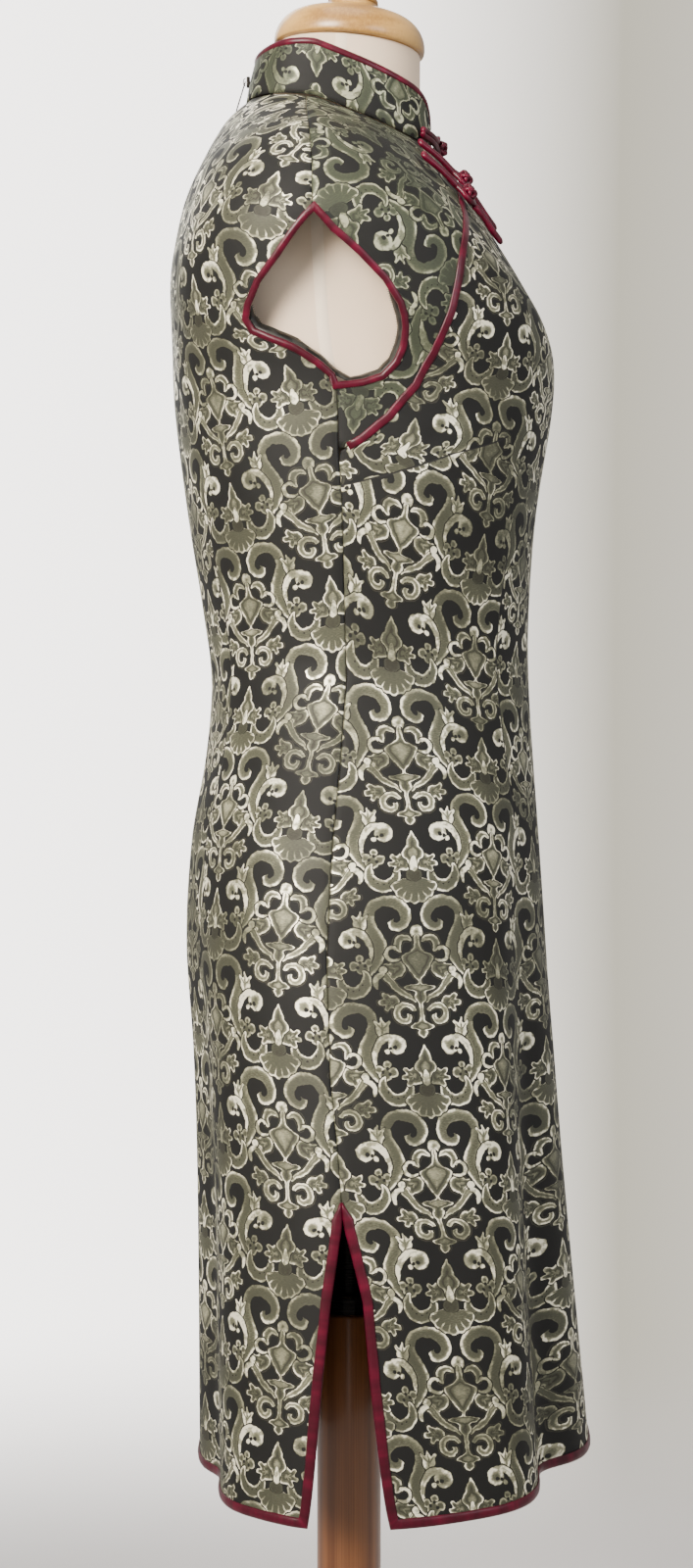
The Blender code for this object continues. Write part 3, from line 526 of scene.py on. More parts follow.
def scrollMotif(tree, x, y, under):
    # the S-scroll arm with its tulip and comma, which reach over to the next column
    point = addNode(tree, "CombineXYZ", x, y)
    head, headEdge, headTurn = curl(tree, point, (50.7, -13.4), [
        (-180, 10.4, 4.4), (-150, 12.8, 4.3), (-120, 16.4, 3.7), (-96, 17.3, 3.4), (-84, 17.2, 3.2),
        (-78, 16.8, -3),
        (-66, 4.2, -3), (-56, 3.6, 2.5), (-30, 5.0, 3.0), (0, 6.2, 3.0), (45, 6.9, 3.3), (90, 7.5, 3.7),
        (135, 8.3, 4.1), (180, 10.4, 4.4)])
    body, bodyEdge = ribbon(tree, y, x, [
        (-17.6, 33.6, -4), (-16.4, 33.6, 3.1), (-12, 33.7, 3.5), (-6, 35.3, 4.5), (0, 37.3, 5.6),
        (5, 38.6, 5.8),
        (10, 38.7, 5.3), (15, 37.4, 4.4), (20, 35.2, 3.3), (25, 32.2, 1.7), (28, 30.6, -1)])
    inHead = addNode(tree, "Math", head, body, operation="GREATER_THAN")
    depth = addNode(tree, "Mix", inHead, None, bodyEdge, headEdge, data_type="FLOAT")
    headLit = addNode(tree, "FloatCurve", 1.0, headTurn, points=[(radians(a), w) for a, w in (
        (-180, 0.75), (-150, 0.5), (-110, 0.2), (-80, 0.1), (-60, 1.0), (0, 1.0), (100, 1.0), (150, 0.9),
        (180, 0.75))])
    bodyLit = addNode(tree, "FloatCurve", 1.0, y, points=[(-18, 0.1), (-10, 0.16), (-3, 0.5), (4, 0.95),
        (28, 1.0)])
    lit = addNode(tree, "Mix", inHead, None, bodyLit, headLit, data_type="FLOAT")
    bright = addNode(tree, "FloatCurve", 1.0, depth, points=[(0, 0.8), (0.5, 1.0), (1.4, 0.95), (2.3, 0.58),
        (3.2, 0.45), (6, 0.43), (9, 0.5)])
    dull = addNode(tree, "FloatCurve", 1.0, depth, points=[(0, 0.42), (0.5, 0.56), (1.4, 0.52), (3, 0.46),
        (6, 0.42), (9, 0.52)])
    tone = addNode(tree, "Mix", lit, None, dull, bright, data_type="FLOAT")
    mask = addNode(tree, "MapRange", union(tree, head, body), -0.12, 0.22)
    drawn = addNode(tree, "Mix", mask, None, under, tone, data_type="FLOAT")
    tulip, _, _ = lobed(tree, point, (27.6, -9.6), [
        (-180, 7.6), (-170, 6.2), (-158, 5.4), (-146, 7.6), (-138, 8.4), (-130, 6.6), (-112, 4.8), (-80, 4.6),
        (-40, 4.4),
        (-10, 5.2), (10, 6.0), (40, 4.6), (80, 4.4), (112, 4.6), (130, 6.2), (140, 8.6), (148, 7.4),
        (160, 5.4), (170, 6.4), (176, 8.8), (180, 7.6)])
    drawn = overlay(tree, drawn, tulip, creamy)
    comma, _, _ = curl(tree, point, (21.5, 9), [
        (-180, 13.9, 2.0), (-168, 13.9, 1.8), (-158, 13.6, -3), (18, 14.4, -3), (32, 14.2, 0.4),
        (55, 13.6, 0.9),
        (80, 12.6, 1.4), (110, 12.4, 2.0), (140, 13.2, 2.5), (165, 13.9, 2.6), (180, 13.9, 2.0)])
    pearl = disc(tree, point, (18.6, 0.4), 6.4)
    drop = disc(tree, point, (25.4, 4.8), 1.9)
    drawn = overlay(tree, drawn, union(tree, comma, pearl, drop), creamy)
    eye = disc(tree, point, (20.0, 2.0), 1.5)
    notch = disc(tree, point, (23.0, 2.8), 1.3)
    return overlay(tree, drawn, union(tree, eye, notch), [(0, 0.3), (0.4, 0.05), (2, 0.0)])


def axisMotif(tree, x, y, under):
    # what stands on a column's own axis: palmette, shell and horns above, a candelabrum under them
    point = addNode(tree, "CombineXYZ", x, y)
    horn, hornEdge, hornTurn = curl(tree, point, (20.8, 28.4), [
        (-180, 9, -4), (-128, 9.4, -4), (-116, 9.4, 0.6), (-95, 9.2, 2.3), (-60, 9, 3.4), (-20, 9, 4.2),
        (20, 8.9, 4.3), (60, 8.8, 3.9),
        (90, 9, 3.1), (116, 9.4, 2.0), (134, 9.6, 0.5), (144, 9.6, -4), (180, 9, -4)])
    fingers = None
    for centre, outline in (((27.6, 20.6), 4.6), ((22.4, 19.0), 3.4), ((31.8, 17.0), 3.0),
            ((26.2, 13.8), 2.6)):
        finger = disc(tree, point, centre, outline)
        fingers = finger if fingers is None else union(tree, fingers, finger)
    drawn = overlay(tree, under, fingers, softRim)
    for centre in ((24.6, 20.2), (29.4, 18.8), (26.4, 16.6)):
        drawn = overlay(tree, drawn, disc(tree, point, centre, 1.0), [(-0.2, 0.3), (0.2, 0.05), (2, 0.0)])
    drawn = overlay(tree, drawn, horn, rimmed)
    beads = addNode(tree, "Math", addNode(tree, "Math", hornTurn, 12.0, operation="MULTIPLY"),
        operation="COSINE")
    lane = addNode(tree, "Math", addNode(tree, "Math", addNode(tree, "Math", hornEdge, 5.4,
        operation="SUBTRACT"), operation="ABSOLUTE"), -1.6, operation="MULTIPLY")
    bead = addNode(tree, "Math", beads, lane, operation="ADD")
    bead = addNode(tree, "Math", addNode(tree, "MapRange", bead, 0.1, 0.5),
        addNode(tree, "MapRange", horn, 0.6, 1.2), operation="MULTIPLY")
    drawn = addNode(tree, "Math", drawn, addNode(tree, "Math", bead, -0.9, 1.0, operation="MULTIPLY_ADD"),
        operation="MULTIPLY")
    shell, shellAngle, shellFar = lobed(tree, point, (0, 32.4), [
        (-10, 17.4), (0, 17.6), (11, 16.6), (22, 17.3), (33, 16.4), (44, 17.1), (55, 16.2), (66, 16.8),
        (76, 15.6),
        (84, 10), (95, 5), (180, 3)])
    drawn = overlay(tree, drawn, shell, rimmed)
    ribs = addNode(tree, "Math", addNode(tree, "Math", shellAngle, 16.4, operation="MULTIPLY"),
        operation="COSINE")
    ribs = addNode(tree, "FloatCurve", 1.0, ribs, points=[(-1, 0.9), (-0.82, 0.72), (-0.5, 0.0), (1, 0.0)])
    fade = addNode(tree, "MapRange", shellFar, 6.5, 13.0)
    fade = addNode(tree, "Math", fade, addNode(tree, "MapRange", shell, 0.0, 0.6), operation="MULTIPLY")
    ribs = addNode(tree, "Math", ribs, fade, operation="MULTIPLY")
    drawn = addNode(tree, "Math", drawn, ribs, operation="MAXIMUM")
    base = addNode(tree, "Math", addNode(tree, "FloatCurve", 1.0, y, points=[
        (26.2, -2), (26.8, 3.4), (28.5, 5.2), (31, 5.3), (33, 4.2), (34.6, 1), (35, -2)]), x,
        operation="SUBTRACT")
    drawn = overlay(tree, drawn, base, [(-0.8, 0.02), (-0.2, 0.1), (0.2, 0.36), (2, 0.3), (5, 0.3)])
    leaves, _, _ = lobed(tree, point, (8.8, 21.6), [
        (-180, 6), (-120, 7), (-60, 7), (-20, 5.6), (0, 5.4), (18, 6.6), (34, 7.8), (46, 6.6), (58, 5.2),
        (70, 6.4), (84, 8.4),
        (96, 7.4), (106, 5.4), (118, 7.0), (130, 8.4), (142, 7.2), (156, 5.2), (180, 6)])
    drawn = overlay(tree, drawn, leaves, veined)
    leaf = addNode(tree, "Math", addNode(tree, "FloatCurve", 1.0, y, points=[
        (-1, -4), (0, 0.3), (2, 1.3), (5, 3.0), (8, 4.2), (10.4, 4.4), (12.4, 6.4), (15, 7.8), (17.4, 7.2),
        (19.6, 4.6), (22, 3.4),
        (25, 3.0), (27, 1.4), (28, -4)]), x, operation="SUBTRACT")
    drawn = overlay(tree, drawn, leaf, veined)
    bulb = addNode(tree, "Math", addNode(tree, "FloatCurve", 1.0, y, points=[
        (15.6, -2), (17, 0.8), (19.5, 1.7), (23, 2.6), (25.6, 2.6), (27.6, 0.6), (28.2, -2)]), x,
        operation="SUBTRACT")
    drawn = overlay(tree, drawn, bulb, [(-0.5, 0.2), (0, 0.6), (0.5, 1.0), (4, 1.0)])
    # candelabrum: crown, vase with wings, arms, trefoils and a double spiral over a bell
    crown = disc(tree, point, (0, 68.4), 4.5)
    petal, _, _ = curl(tree, point, (8.2, 77.6), [
        (-180, 5.2, 1.9), (-150, 5.2, 1.6), (-120, 5.4, 0.4), (-104, 5.6, -3), (18, 5.4, -3), (34, 5.2, 0.5),
        (60, 5.2, 1.9),
        (90, 5.4, 2.6), (135, 5.4, 2.6), (180, 5.2, 1.9)])
    hook, _, _ = curl(tree, point, (16.8, 83.4), [
        (-180, 4.3, 1.2), (-160, 4.0, 1.5), (-146, 3.8, 1.2), (-134, 3.6, -3), (-72, 6.4, -3),
        (-56, 5.8, 0.6), (-20, 4.8, 1.1),
        (40, 4.6, 1.4), (100, 4.6, 1.5), (150, 4.5, 1.3), (180, 4.3, 1.2)])
    wing, _, _ = lobed(tree, point, (15.4, 93.2), [
        (-180, 5), (-90, 6.4), (-45, 6.2), (0, 6.6), (18, 8.2), (34, 7.6), (48, 5.8), (66, 6.8), (84, 8.6),
        (98, 9.4),
        (112, 7.4), (132, 5.4), (148, 5.8), (164, 5.6), (180, 5)])
    trefoil, _, _ = lobed(tree, point, (20.4, 115.6), [
        (-180, 3.8), (-120, 5.2), (-60, 6.2), (-20, 5.2), (0, 4.6), (14, 6.0), (28, 7.4), (42, 6.8),
        (54, 5.0), (68, 7.0),
        (84, 8.6), (98, 7.6), (108, 5.4), (122, 7.2), (136, 7.8), (150, 6.2), (165, 4.4), (180, 3.8)])
    ring, _, _ = curl(tree, point, (11.4, 124.2), [
        (-180, 6.2, 1.8), (-140, 6.5, 1.7), (-112, 6.8, 1.4), (-103, 6.8, -3), (-96, 2.4, -3),
        (-86, 2.7, 1.7), (-60, 3.5, 1.9),
        (-20, 4.5, 2.0), (30, 5.1, 2.1), (90, 5.7, 2.3), (140, 6.1, 2.1), (180, 6.2, 1.8)])
    arm, _ = ribbon(tree, x, y, [
        (2.8, 115.8, -3), (3.8, 115.4, 1.3), (7, 112.4, 1.7), (11, 110.4, 2.2), (15, 107.4, 2.9),
        (18.4, 103.4, 3.6), (21.4, 99.6, 3.8),
        (24.4, 97.4, 2.9), (26.6, 97, 1.0), (27.6, 97, -2)])
    claw, _, _ = curl(tree, point, (24.8, 102.6), [
        (-180, 5.2, 1.6), (-165, 5.2, 1.1), (-150, 5.2, -3), (24, 5.8, -3), (38, 5.6, 0.5), (56, 5.2, 1.3),
        (90, 5.0, 1.8), (140, 5.0, 1.9), (180, 5.2, 1.6)])
    knob = disc(tree, point, (24.2, 94.2), 2.8)
    vase = addNode(tree, "Math", addNode(tree, "FloatCurve", 1.0, y, points=[
        (69.6, -4), (71, 1.6), (76, 1.9), (79.4, 2.6), (82, 5.2), (84, 9.6), (86, 11.6), (88.4, 10.8),
        (91, 9), (95, 6.4), (99, 3.4),
        (102, 1.1), (103.4, 1.4), (104.6, 5.6), (105.8, 11.2), (107.2, 9.8), (108.6, 5.4), (110, 3.8),
        (112.6, 4.5),
        (115, 3.6), (117, 1.7), (122, 1.5), (127, 1.6), (129.4, 2.6), (131, 6.4), (132.6, 8.4), (134, 6.4),
        (135, 3),
        (136.4, 3.6), (138.4, 2.8), (140, 0.6), (141, -4)]), x, operation="SUBTRACT")
    leafy = union(tree, petal, wing, trefoil)
    backing = union(tree, leafy, vase, arm, ring)
    drawn = overlay(tree, drawn, backing, [(-1.5, 0.0), (-1.2, 0.24), (-0.5, 0.27), (0.2, 0.1), (3, 0.1)])
    drawn = overlay(tree, drawn, leafy, veined)
    drawn = overlay(tree, drawn, union(tree, arm, ring), [(-0.5, 0.0), (-0.1, 0.1), (0.3, 0.9), (0.9, 0.82),
        (1.6, 0.55), (2.6, 0.48), (4, 0.6)])
    drawn = overlay(tree, drawn, union(tree, claw, knob, hook, crown), creamy)
    return overlay(tree, drawn, vase, veined)


def drawDamask(tree, u, v):
    # u and v in mm on the cloth; columns are mirror-symmetric and every second one drops by half a repeat
    column, repeat = damask["column"], damask["repeat"]
    place = addNode(tree, "CombineXYZ", u, v)
    wander = addNode(tree, "TexNoise", place, None, 0.22, 2.0, noise_dimensions="2D").node.outputs["Color"]
    wander = addNode(tree, "VectorMath", wander, (0.5, 0.5, 0.5), operation="SUBTRACT")
    wander = addNode(tree, "VectorMath", wander, (1.7, 1.7, 0), operation="MULTIPLY")
    place = addNode(tree, "VectorMath", place, wander, operation="ADD")
    axes = addNode(tree, "SeparateXYZ", place).node.outputs
    u, v = axes[0], axes[1]
    x = addNode(tree, "Math", u, column, operation="PINGPONG")
    y = addNode(tree, "Math", v, repeat, 0.0, operation="WRAP")
    otherX = addNode(tree, "Math", column, x, operation="SUBTRACT")
    shifted = addNode(tree, "Math", y, repeat / 2, operation="ADD")
    tone = None
    for ownX, ownY in ((x, y), (otherX, shifted)):
        near = addNode(tree, "Math", ownY, repeat - 50, -50.0, operation="WRAP")
        tone = scrollMotif(tree, ownX, near, tone)
    late = addNode(tree, "Math", y, repeat / 2, operation="GREATER_THAN")
    border = addNode(tree, "Math", late, -2.4, 33.7, operation="MULTIPLY_ADD")
    swap = addNode(tree, "Math", x, border, operation="GREATER_THAN")
    ownX = addNode(tree, "Mix", swap, None, x, otherX, data_type="FLOAT")
    ownY = addNode(tree, "Mix", swap, None, y, shifted, data_type="FLOAT")
    return axisMotif(tree, ownX, addNode(tree, "Math", ownY, repeat, 0.0, operation="WRAP"), tone)


# figured brocade: satin ground, figure in longer shiny floats, so it glints a little more than the ground
frontDarts = {
    # u of the dart, its intake in mm by v
    "upright": [(96, [(-98, 0), (-60, 4), (0, 11), (60, 6), (118, 0)])],
    "slanting": [(118, -172, 236, -118, 0.16)],  # tip u and v, seam u and v, intake as a share of the run
}
backDarts = {"upright": [(92, [(-150, 0), (-80, 6), (0, 16), (70, 8), (140, 0)])], "slanting": []}
noDarts = {"upright": [], "slanting": []}


def brocadeMaterial(name, darts, start, tones=damask, reverse=False):
    material, tree, shader = newMaterial(name)
    flat = addNode(tree, "VectorMath", addNode(tree, "TexCoord").node.outputs["UV"], (1000, 1000, 1000),
        operation="MULTIPLY")
    axes = addNode(tree, "SeparateXYZ", flat).node.outputs
    u, v = addNode(tree, "Math", axes[0], operation="ABSOLUTE"), axes[1]
    sideMap = addNode(tree, "SeparateXYZ", addNode(tree, "UVMap", uv_map="side")).node.outputs[0]
    sideMap = addNode(tree, "Math", sideMap, 1000.0, operation="MULTIPLY")
    stitched = None
    for line, intake in darts["upright"]:
        taken = addNode(tree, "FloatCurve", 1.0, v, points=intake)
        gap = addNode(tree, "Math", u, line, operation="SUBTRACT")
        gap = addNode(tree, "Math", gap, operation="ABSOLUTE")
        opening = addNode(tree, "MapRange", taken, 0.3, 1.5)
        seam = addNode(tree, "MapRange", gap, 0.25, 0.9, 1.0, 0.0)
        seam = addNode(tree, "Math", seam, opening, operation="MULTIPLY")
        stitched = seam if stitched is None else addNode(tree, "Math", stitched, seam, operation="MAXIMUM")
        past = addNode(tree, "Math", u, line, operation="GREATER_THAN")
        eased = addNode(tree, "MapRange", u, line - 40, line + 40)
        eased.node.interpolation_type = "SMOOTHSTEP"
        u = addNode(tree, "Mix", addNode(tree, "Mix", opening, None, eased, past, data_type="FLOAT"), None, u,
            sideMap, data_type="FLOAT")
    for tipU, tipV, seamU, seamV, rate in darts["slanting"]:
        run = addNode(tree, "Math", addNode(tree, "Math", axes[0], tipU, operation="SUBTRACT"), 0.0,
            operation="MAXIMUM")
        edge = addNode(tree, "Math", run, (seamV - tipV) / (seamU - tipU), tipV, operation="MULTIPLY_ADD")
        gap = addNode(tree, "Math", v, edge, operation="SUBTRACT")
        opening = addNode(tree, "MapRange", run, 1.0, 6.0)
        seam = addNode(tree, "MapRange", addNode(tree, "Math", gap, operation="ABSOLUTE"), 0.3, 1.0, 1.0, 0.0)
        stitched = addNode(tree, "Math", stitched, addNode(tree, "Math", seam, opening, operation="MULTIPLY"),
            operation="MAXIMUM")
        below = addNode(tree, "Math", addNode(tree, "Math", gap, 0.0, operation="GREATER_THAN"), run,
            operation="MULTIPLY")
        v = addNode(tree, "Math", below, rate, v, operation="MULTIPLY_ADD")
    if reverse:
        tone = addNode(tree, "MapRange", addNode(tree, "TexNoise", flat, None, 0.09, 2.0,
            noise_dimensions="2D"), 0.42, 0.56)
    else:
        tone = drawDamask(tree, u, addNode(tree, "Math", v, start, operation="SUBTRACT"))
    floats = addNode(tree, "VectorMath", flat, (0.55, 2.2, 1), operation="MULTIPLY")
    thread = addNode(tree, "TexNoise", floats, None, 0.8, 2.0, noise_dimensions="2D")
    # painted highlights: two noises brighten and dim the cream rims in broad patches and small glints,
    # standing in for floats catching the light; the broad one also lightens and darkens the sage fill a
    # little
    patch = addNode(tree, "MapRange", addNode(tree, "TexNoise", flat, None, 0.013, 2.0, 0.6,
        noise_dimensions="2D"), 0.38, 0.6, 0.45, 1.2)
    paintedGlint = addNode(tree, "MapRange", addNode(tree, "TexNoise", flat, None, 0.13, 2.0, 0.6,
        noise_dimensions="2D"), 0.38, 0.6, 0.42, 1.3)
    grain = addNode(tree, "MapRange", thread, 0.2, 0.8, 0.86, 1.12)
    lit = addNode(tree, "Math", patch, paintedGlint, operation="MULTIPLY")
    low = addNode(tree, "Math", tone, 0.46, operation="MINIMUM")
    high = addNode(tree, "Math", tone, low, operation="SUBTRACT")
    low = addNode(tree, "Math", low, addNode(tree, "MapRange", patch, 0.45, 1.2, 0.86, 1.08),
        operation="MULTIPLY")
    tone = addNode(tree, "Math", addNode(tree, "Math", high, lit, low, operation="MULTIPLY_ADD"), grain,
        operation="MULTIPLY")
    stops = [(0, tones["ground"]), (0.26, tones["shade"]), (0.44, tones["sage"]), (0.7, tones["light"]),
        (0.95, tones["cream"])]
    if reverse:
        stops = [(0, "#2d2c27"), (0.4, "#232220"), (1.0, "#161513")]
    colour = addNode(tree, "ValToRGB", tone, stops=stops)
    if stitched:
        colour = addNode(tree, "MixRGB", stitched, colour, "#1a1918")
    tree.links.new(colour, shader.inputs["Base Color"])
    tree.links.new(addNode(tree, "MapRange", tone, 0.0, 0.9, 0.7, 0.38), shader.inputs["Roughness"])
    tree.links.new(addNode(tree, "MapRange", tone, 0.1, 0.8, 0.0, 0.35), shader.inputs["Metallic"])
    shader.inputs["IOR"].default_value = 1.4
    # threads 0.35 mm apart, drawn coarser to show
    twill = addNode(tree, "TexWave", flat, 0.9, 1.2, 2.0, bands_direction="DIAGONAL")
    relief = addNode(tree, "Math", addNode(tree, "Math", twill, 0.35, operation="MULTIPLY"), thread,
        operation="ADD")
    if stitched:
        relief = addNode(tree, "Math", relief, addNode(tree, "Math", stitched, -3.0, operation="MULTIPLY"),
            operation="ADD")
    bump = addNode(tree, "Bump", 0.35, 0.00012, None, relief)
    tree.links.new(bump, shader.inputs["Normal"])
    return material


def satinMaterial(name):
    # silk-like satin cut on the bias: painted glints, slanted noise streaks that lighten and darken the
    # colour across the strip; the same streaks give a faint relief
    material, tree, shader = newMaterial(name)
    strip = addNode(tree, "TexCoord").node.outputs["UV"]
    slant = addNode(tree, "Mapping", strip, None, (0, 0, 0.9), (300, 90, 1))
    dragAndGlint = addNode(tree, "TexNoise", slant, None, 0.35, 2.0, 0.55, noise_dimensions="2D")
    fibre = addNode(tree, "TexNoise", addNode(tree, "Mapping", strip, None, (0, 0, 0.8), (2600, 420, 1)),
        None, 1.0, 1.0, noise_dimensions="2D")
    # painted glints: the streaks set the colour from dark to lighter burgundy
    colour = addNode(tree, "ValToRGB", dragAndGlint, stops=[(0.25, "#370010"), (0.5, "#460118"), (0.75, "#5e0424")])
    tree.links.new(colour, shader.inputs["Base Color"])
    tree.links.new(addNode(tree, "MapRange", fibre, 0.3, 0.7, 0.3, 0.38), shader.inputs["Roughness"])
    shader.inputs["Anisotropic"].default_value = 0.35
    shader.inputs["IOR"].default_value = 1.38
    relief = addNode(tree, "Math", fibre, 0.06, dragAndGlint, operation="MULTIPLY_ADD")
    tree.links.new(addNode(tree, "Bump", 0.25, 0.0003, None, relief), shader.inputs["Normal"])
    return material


def jerseyMaterial(name, colour, deeper):
    # matt cotton jersey pulled tight: fine ribs of knit, slightly warmer in patches
    material, tree, shader = newMaterial(name)
    place = addNode(tree, "TexCoord").node.outputs["Object"]
    patch = addNode(tree, "TexNoise", place, None, 9.0, 3.0)
    tree.links.new(addNode(tree, "ValToRGB", patch, stops=[(0.3, deeper), (0.7, colour)]),
        shader.inputs["Base Color"])
    shader.inputs["Roughness"].default_value = 0.85
    shader.inputs["Sheen Weight"].default_value = 0.2
    shader.inputs["IOR"].default_value = 1.45
    knit = addNode(tree, "TexWave", addNode(tree, "Mapping", place, None, None, (1, 1, 0.6)), 420.0, 1.2, 2.0)
    tree.links.new(addNode(tree, "Bump", 0.12, 0.0002, None, knit), shader.inputs["Normal"])
    return material


def woodMaterial(name, pale, mid, dark, grain, figure=0.55):
    # turned beech under clear gloss lacquer: long grain, short dark flecks, a coat over it
    material, tree, shader = newMaterial(name)
    place = addNode(tree, "Mapping", addNode(tree, "TexCoord").node.outputs["Object"], (0.31, 0.07, 0), None,
        grain)
    rings = addNode(tree, "TexWave", place, 2.2, 3.4, 3.0, 1.4, 0.6)
    fleck = addNode(tree, "TexNoise", addNode(tree, "Mapping", place, None, None, (26, 26, 3)), None, 6.0,
        3.0, 0.6)
    mixed = addNode(tree, "Math", rings, figure, addNode(tree, "Math", fleck, 0.5, operation="MULTIPLY"),
        operation="MULTIPLY_ADD")
    colour = addNode(tree, "ValToRGB", mixed, stops=[(0.2, dark), (0.45, mid), (0.8, pale)])
    tree.links.new(colour, shader.inputs["Base Color"])
    tree.links.new(addNode(tree, "MapRange", fleck, 0.3, 0.7, 0.32, 0.45), shader.inputs["Roughness"])
    shader.inputs["Coat Weight"].default_value = 0.45
    shader.inputs["Coat Roughness"].default_value = 0.16
    shader.inputs["IOR"].default_value = 1.5
    tree.links.new(addNode(tree, "Bump", 0.15, 0.0003, None, mixed), shader.inputs["Normal"])
    return material


def metalMaterial(name, colour, low, high, lines):
    # turned and oiled steel: fine lines round it, dull in patches
    material, tree, shader = newMaterial(name)
    place = addNode(tree, "TexCoord").node.outputs["Object"]
    turned = addNode(tree, "TexNoise", addNode(tree, "Mapping", place, None, None, lines), None, 1.0, 3.0)
    patch = addNode(tree, "TexNoise", place, None, 30.0, 2.0)
    shade = addNode(tree, "MixRGB", patch, colour, "#1c1b1b")
    tree.links.new(shade, shader.inputs["Base Color"])
    shader.inputs["Metallic"].default_value = 1.0
    tree.links.new(addNode(tree, "MapRange", turned, 0.3, 0.7, low, high), shader.inputs["Roughness"])
    tree.links.new(addNode(tree, "Bump", 0.1, 0.0001, None, turned), shader.inputs["Normal"])
    return material


brocadeFront = brocadeMaterial("damask_brocade_front", frontDarts, 46.0)
brocadeBack = brocadeMaterial("damask_brocade_back", backDarts, 7.0)
# painted shade: the yoke and collar take the darker copy of the damask tones
brocadeShadedCopy = brocadeMaterial("damask_brocade_painted_shade", noDarts, 33.0, shadedDamask)
brocadeReverse = brocadeMaterial("damask_brocade_reverse", noDarts, 33.0, reverse=True)
satin = satinMaterial("burgundy_satin_bias")
jersey = jerseyMaterial("cream_cotton_jersey", "#efd9be", "#e4cbae")
seamTape = jerseyMaterial("cream_twill_tape", "#f8e6cf", "#eedac0")
capWood = woodMaterial("lacquered_beech_cap", "#cc9f58", "#b78a43", "#93682a", (3, 3, 22))
poleWood = woodMaterial("lacquered_beech_pole", "#b07d4b", "#8b5830", "#61371b", (17, 17, 0.5), 0.14)
baseWood = woodMaterial("lacquered_beech_base", "#b9854f", "#9a6438", "#7a4c28", (0.5, 12, 0.5), 0.18)
rodSteel = metalMaterial("oiled_steel_rod", "#4a4846", 0.18, 0.34, (20, 20, 900))
zipMetal = metalMaterial("blackened_zip_metal", "#3b3936", 0.25, 0.4, (400, 400, 400))
print("materials ready")

# ---- cloth panels

panelCut = {
    "wall": 0.0011, "step": 0.0053, "seamDip": 0.0007, "seamHalf": 0.0022,
    # columns beside a seam, closer where the panel is narrow
    "seamColumns": (0.0013, 0.0036, 0.0065), "narrow": 0.012,
}
coarseAngles = np.arange(-108.0, 300.1, 4.0)


def fineLevels(low, high, step):
    levels = [low]
    for start in range(int(low), int(np.ceil(high))):
        a, b = max(start, low), min(start + 1, high)
        at = np.array([0.0, 60, 90, 130, 180])
        length = np.linalg.norm(plainDress(at, at * 0 + b) - plainDress(at, at * 0 + a), axis=1).max()
        count = max(int(np.ceil(length / step)), 1)
        levels += list(np.linspace(a, b, count + 1)[1:])
    return np.array(levels)


def flatGuess(angle, level, reference):
    # how far round the ring from a reference angle, and how far down from the waist, in metres
    levels = np.unique(np.concatenate([level, np.linspace(0, 16, 65)]))
    grid = plainDress(*(g.ravel() for g in np.meshgrid(coarseAngles, levels))).reshape(len(levels), -1, 3)
    ringRun = np.pad(np.linalg.norm(np.diff(grid, axis=1), axis=2).cumsum(1), ((0, 0), (1, 0)))
    down = np.pad(np.linalg.norm(np.diff(grid, axis=0), axis=2).cumsum(0), ((1, 0), (0, 0)))
    down -= down[np.searchsorted(levels, 10.0)]
    result = np.zeros((len(level), 2))
    for row in np.unique(level):
        here, i = level == row, np.searchsorted(levels, row)
        arc = np.interp(angle[here], coarseAngles, ringRun[i])
        result[here, 0] = arc - np.interp(reference, coarseAngles, ringRun[i])
        result[here, 1] = np.interp(angle[here], coarseAngles, down[i])
    return result


def relax(points, flat, turns):
    # lets the cut lie flat: every link goes back to the length it has on the body
    every, first, last = slice(None), slice(None, -1), slice(1, None)
    ends = [((every, first), (every, last)), ((first, every), (last, every)),
            ((first, first), (last, last)), ((last, first), (first, last))]
    rest = [np.linalg.norm(points[b] - points[a], axis=2) for a, b in ends]
    for _ in range(turns):
        move, count = np.zeros_like(flat), np.zeros(flat.shape[:2])
        for (a, b), length in zip(ends, rest):
            way = flat[b] - flat[a]
            pull = way * (0.5 * (1 - length / np.maximum(np.linalg.norm(way, axis=2), 1e-9)))[..., None]
            move[a] += pull
            move[b] -= pull
            count[a] += 1
            count[b] += 1
        flat = flat + 1.5 * move / count[..., None]
    return flat


def layFlat(start, end, low, high, reference, anchor):
    rows = np.linspace(low, high, int((high - low) * 4) + 1)
    shares = np.linspace(0, 1, 19)
    angles = start(rows)[:, None] + (end(rows) - start(rows))[:, None] * shares
    levels = np.repeat(rows, len(shares))
    guess = flatGuess(angles.ravel(), levels, reference)
    points = plainDress(angles.ravel(), levels).reshape(len(rows), -1, 3)
    flat = relax(points, guess.reshape(len(rows), -1, 2).copy(), 2500)
    kept = (levels >= anchor).reshape(flat.shape[:2])
    a, b = flat[kept], guess.reshape(flat.shape)[kept]
    turn = (a - a.mean(0)).T @ (b - b.mean(0))
    tilt = np.arctan2(turn[0, 1] - turn[1, 0], turn[0, 0] + turn[1, 1])
    spin = np.array([[cos(tilt), sin(tilt)], [-sin(tilt), cos(tilt)]])
    return rows, (flat - a.mean(0)) @ spin + b.mean(0)


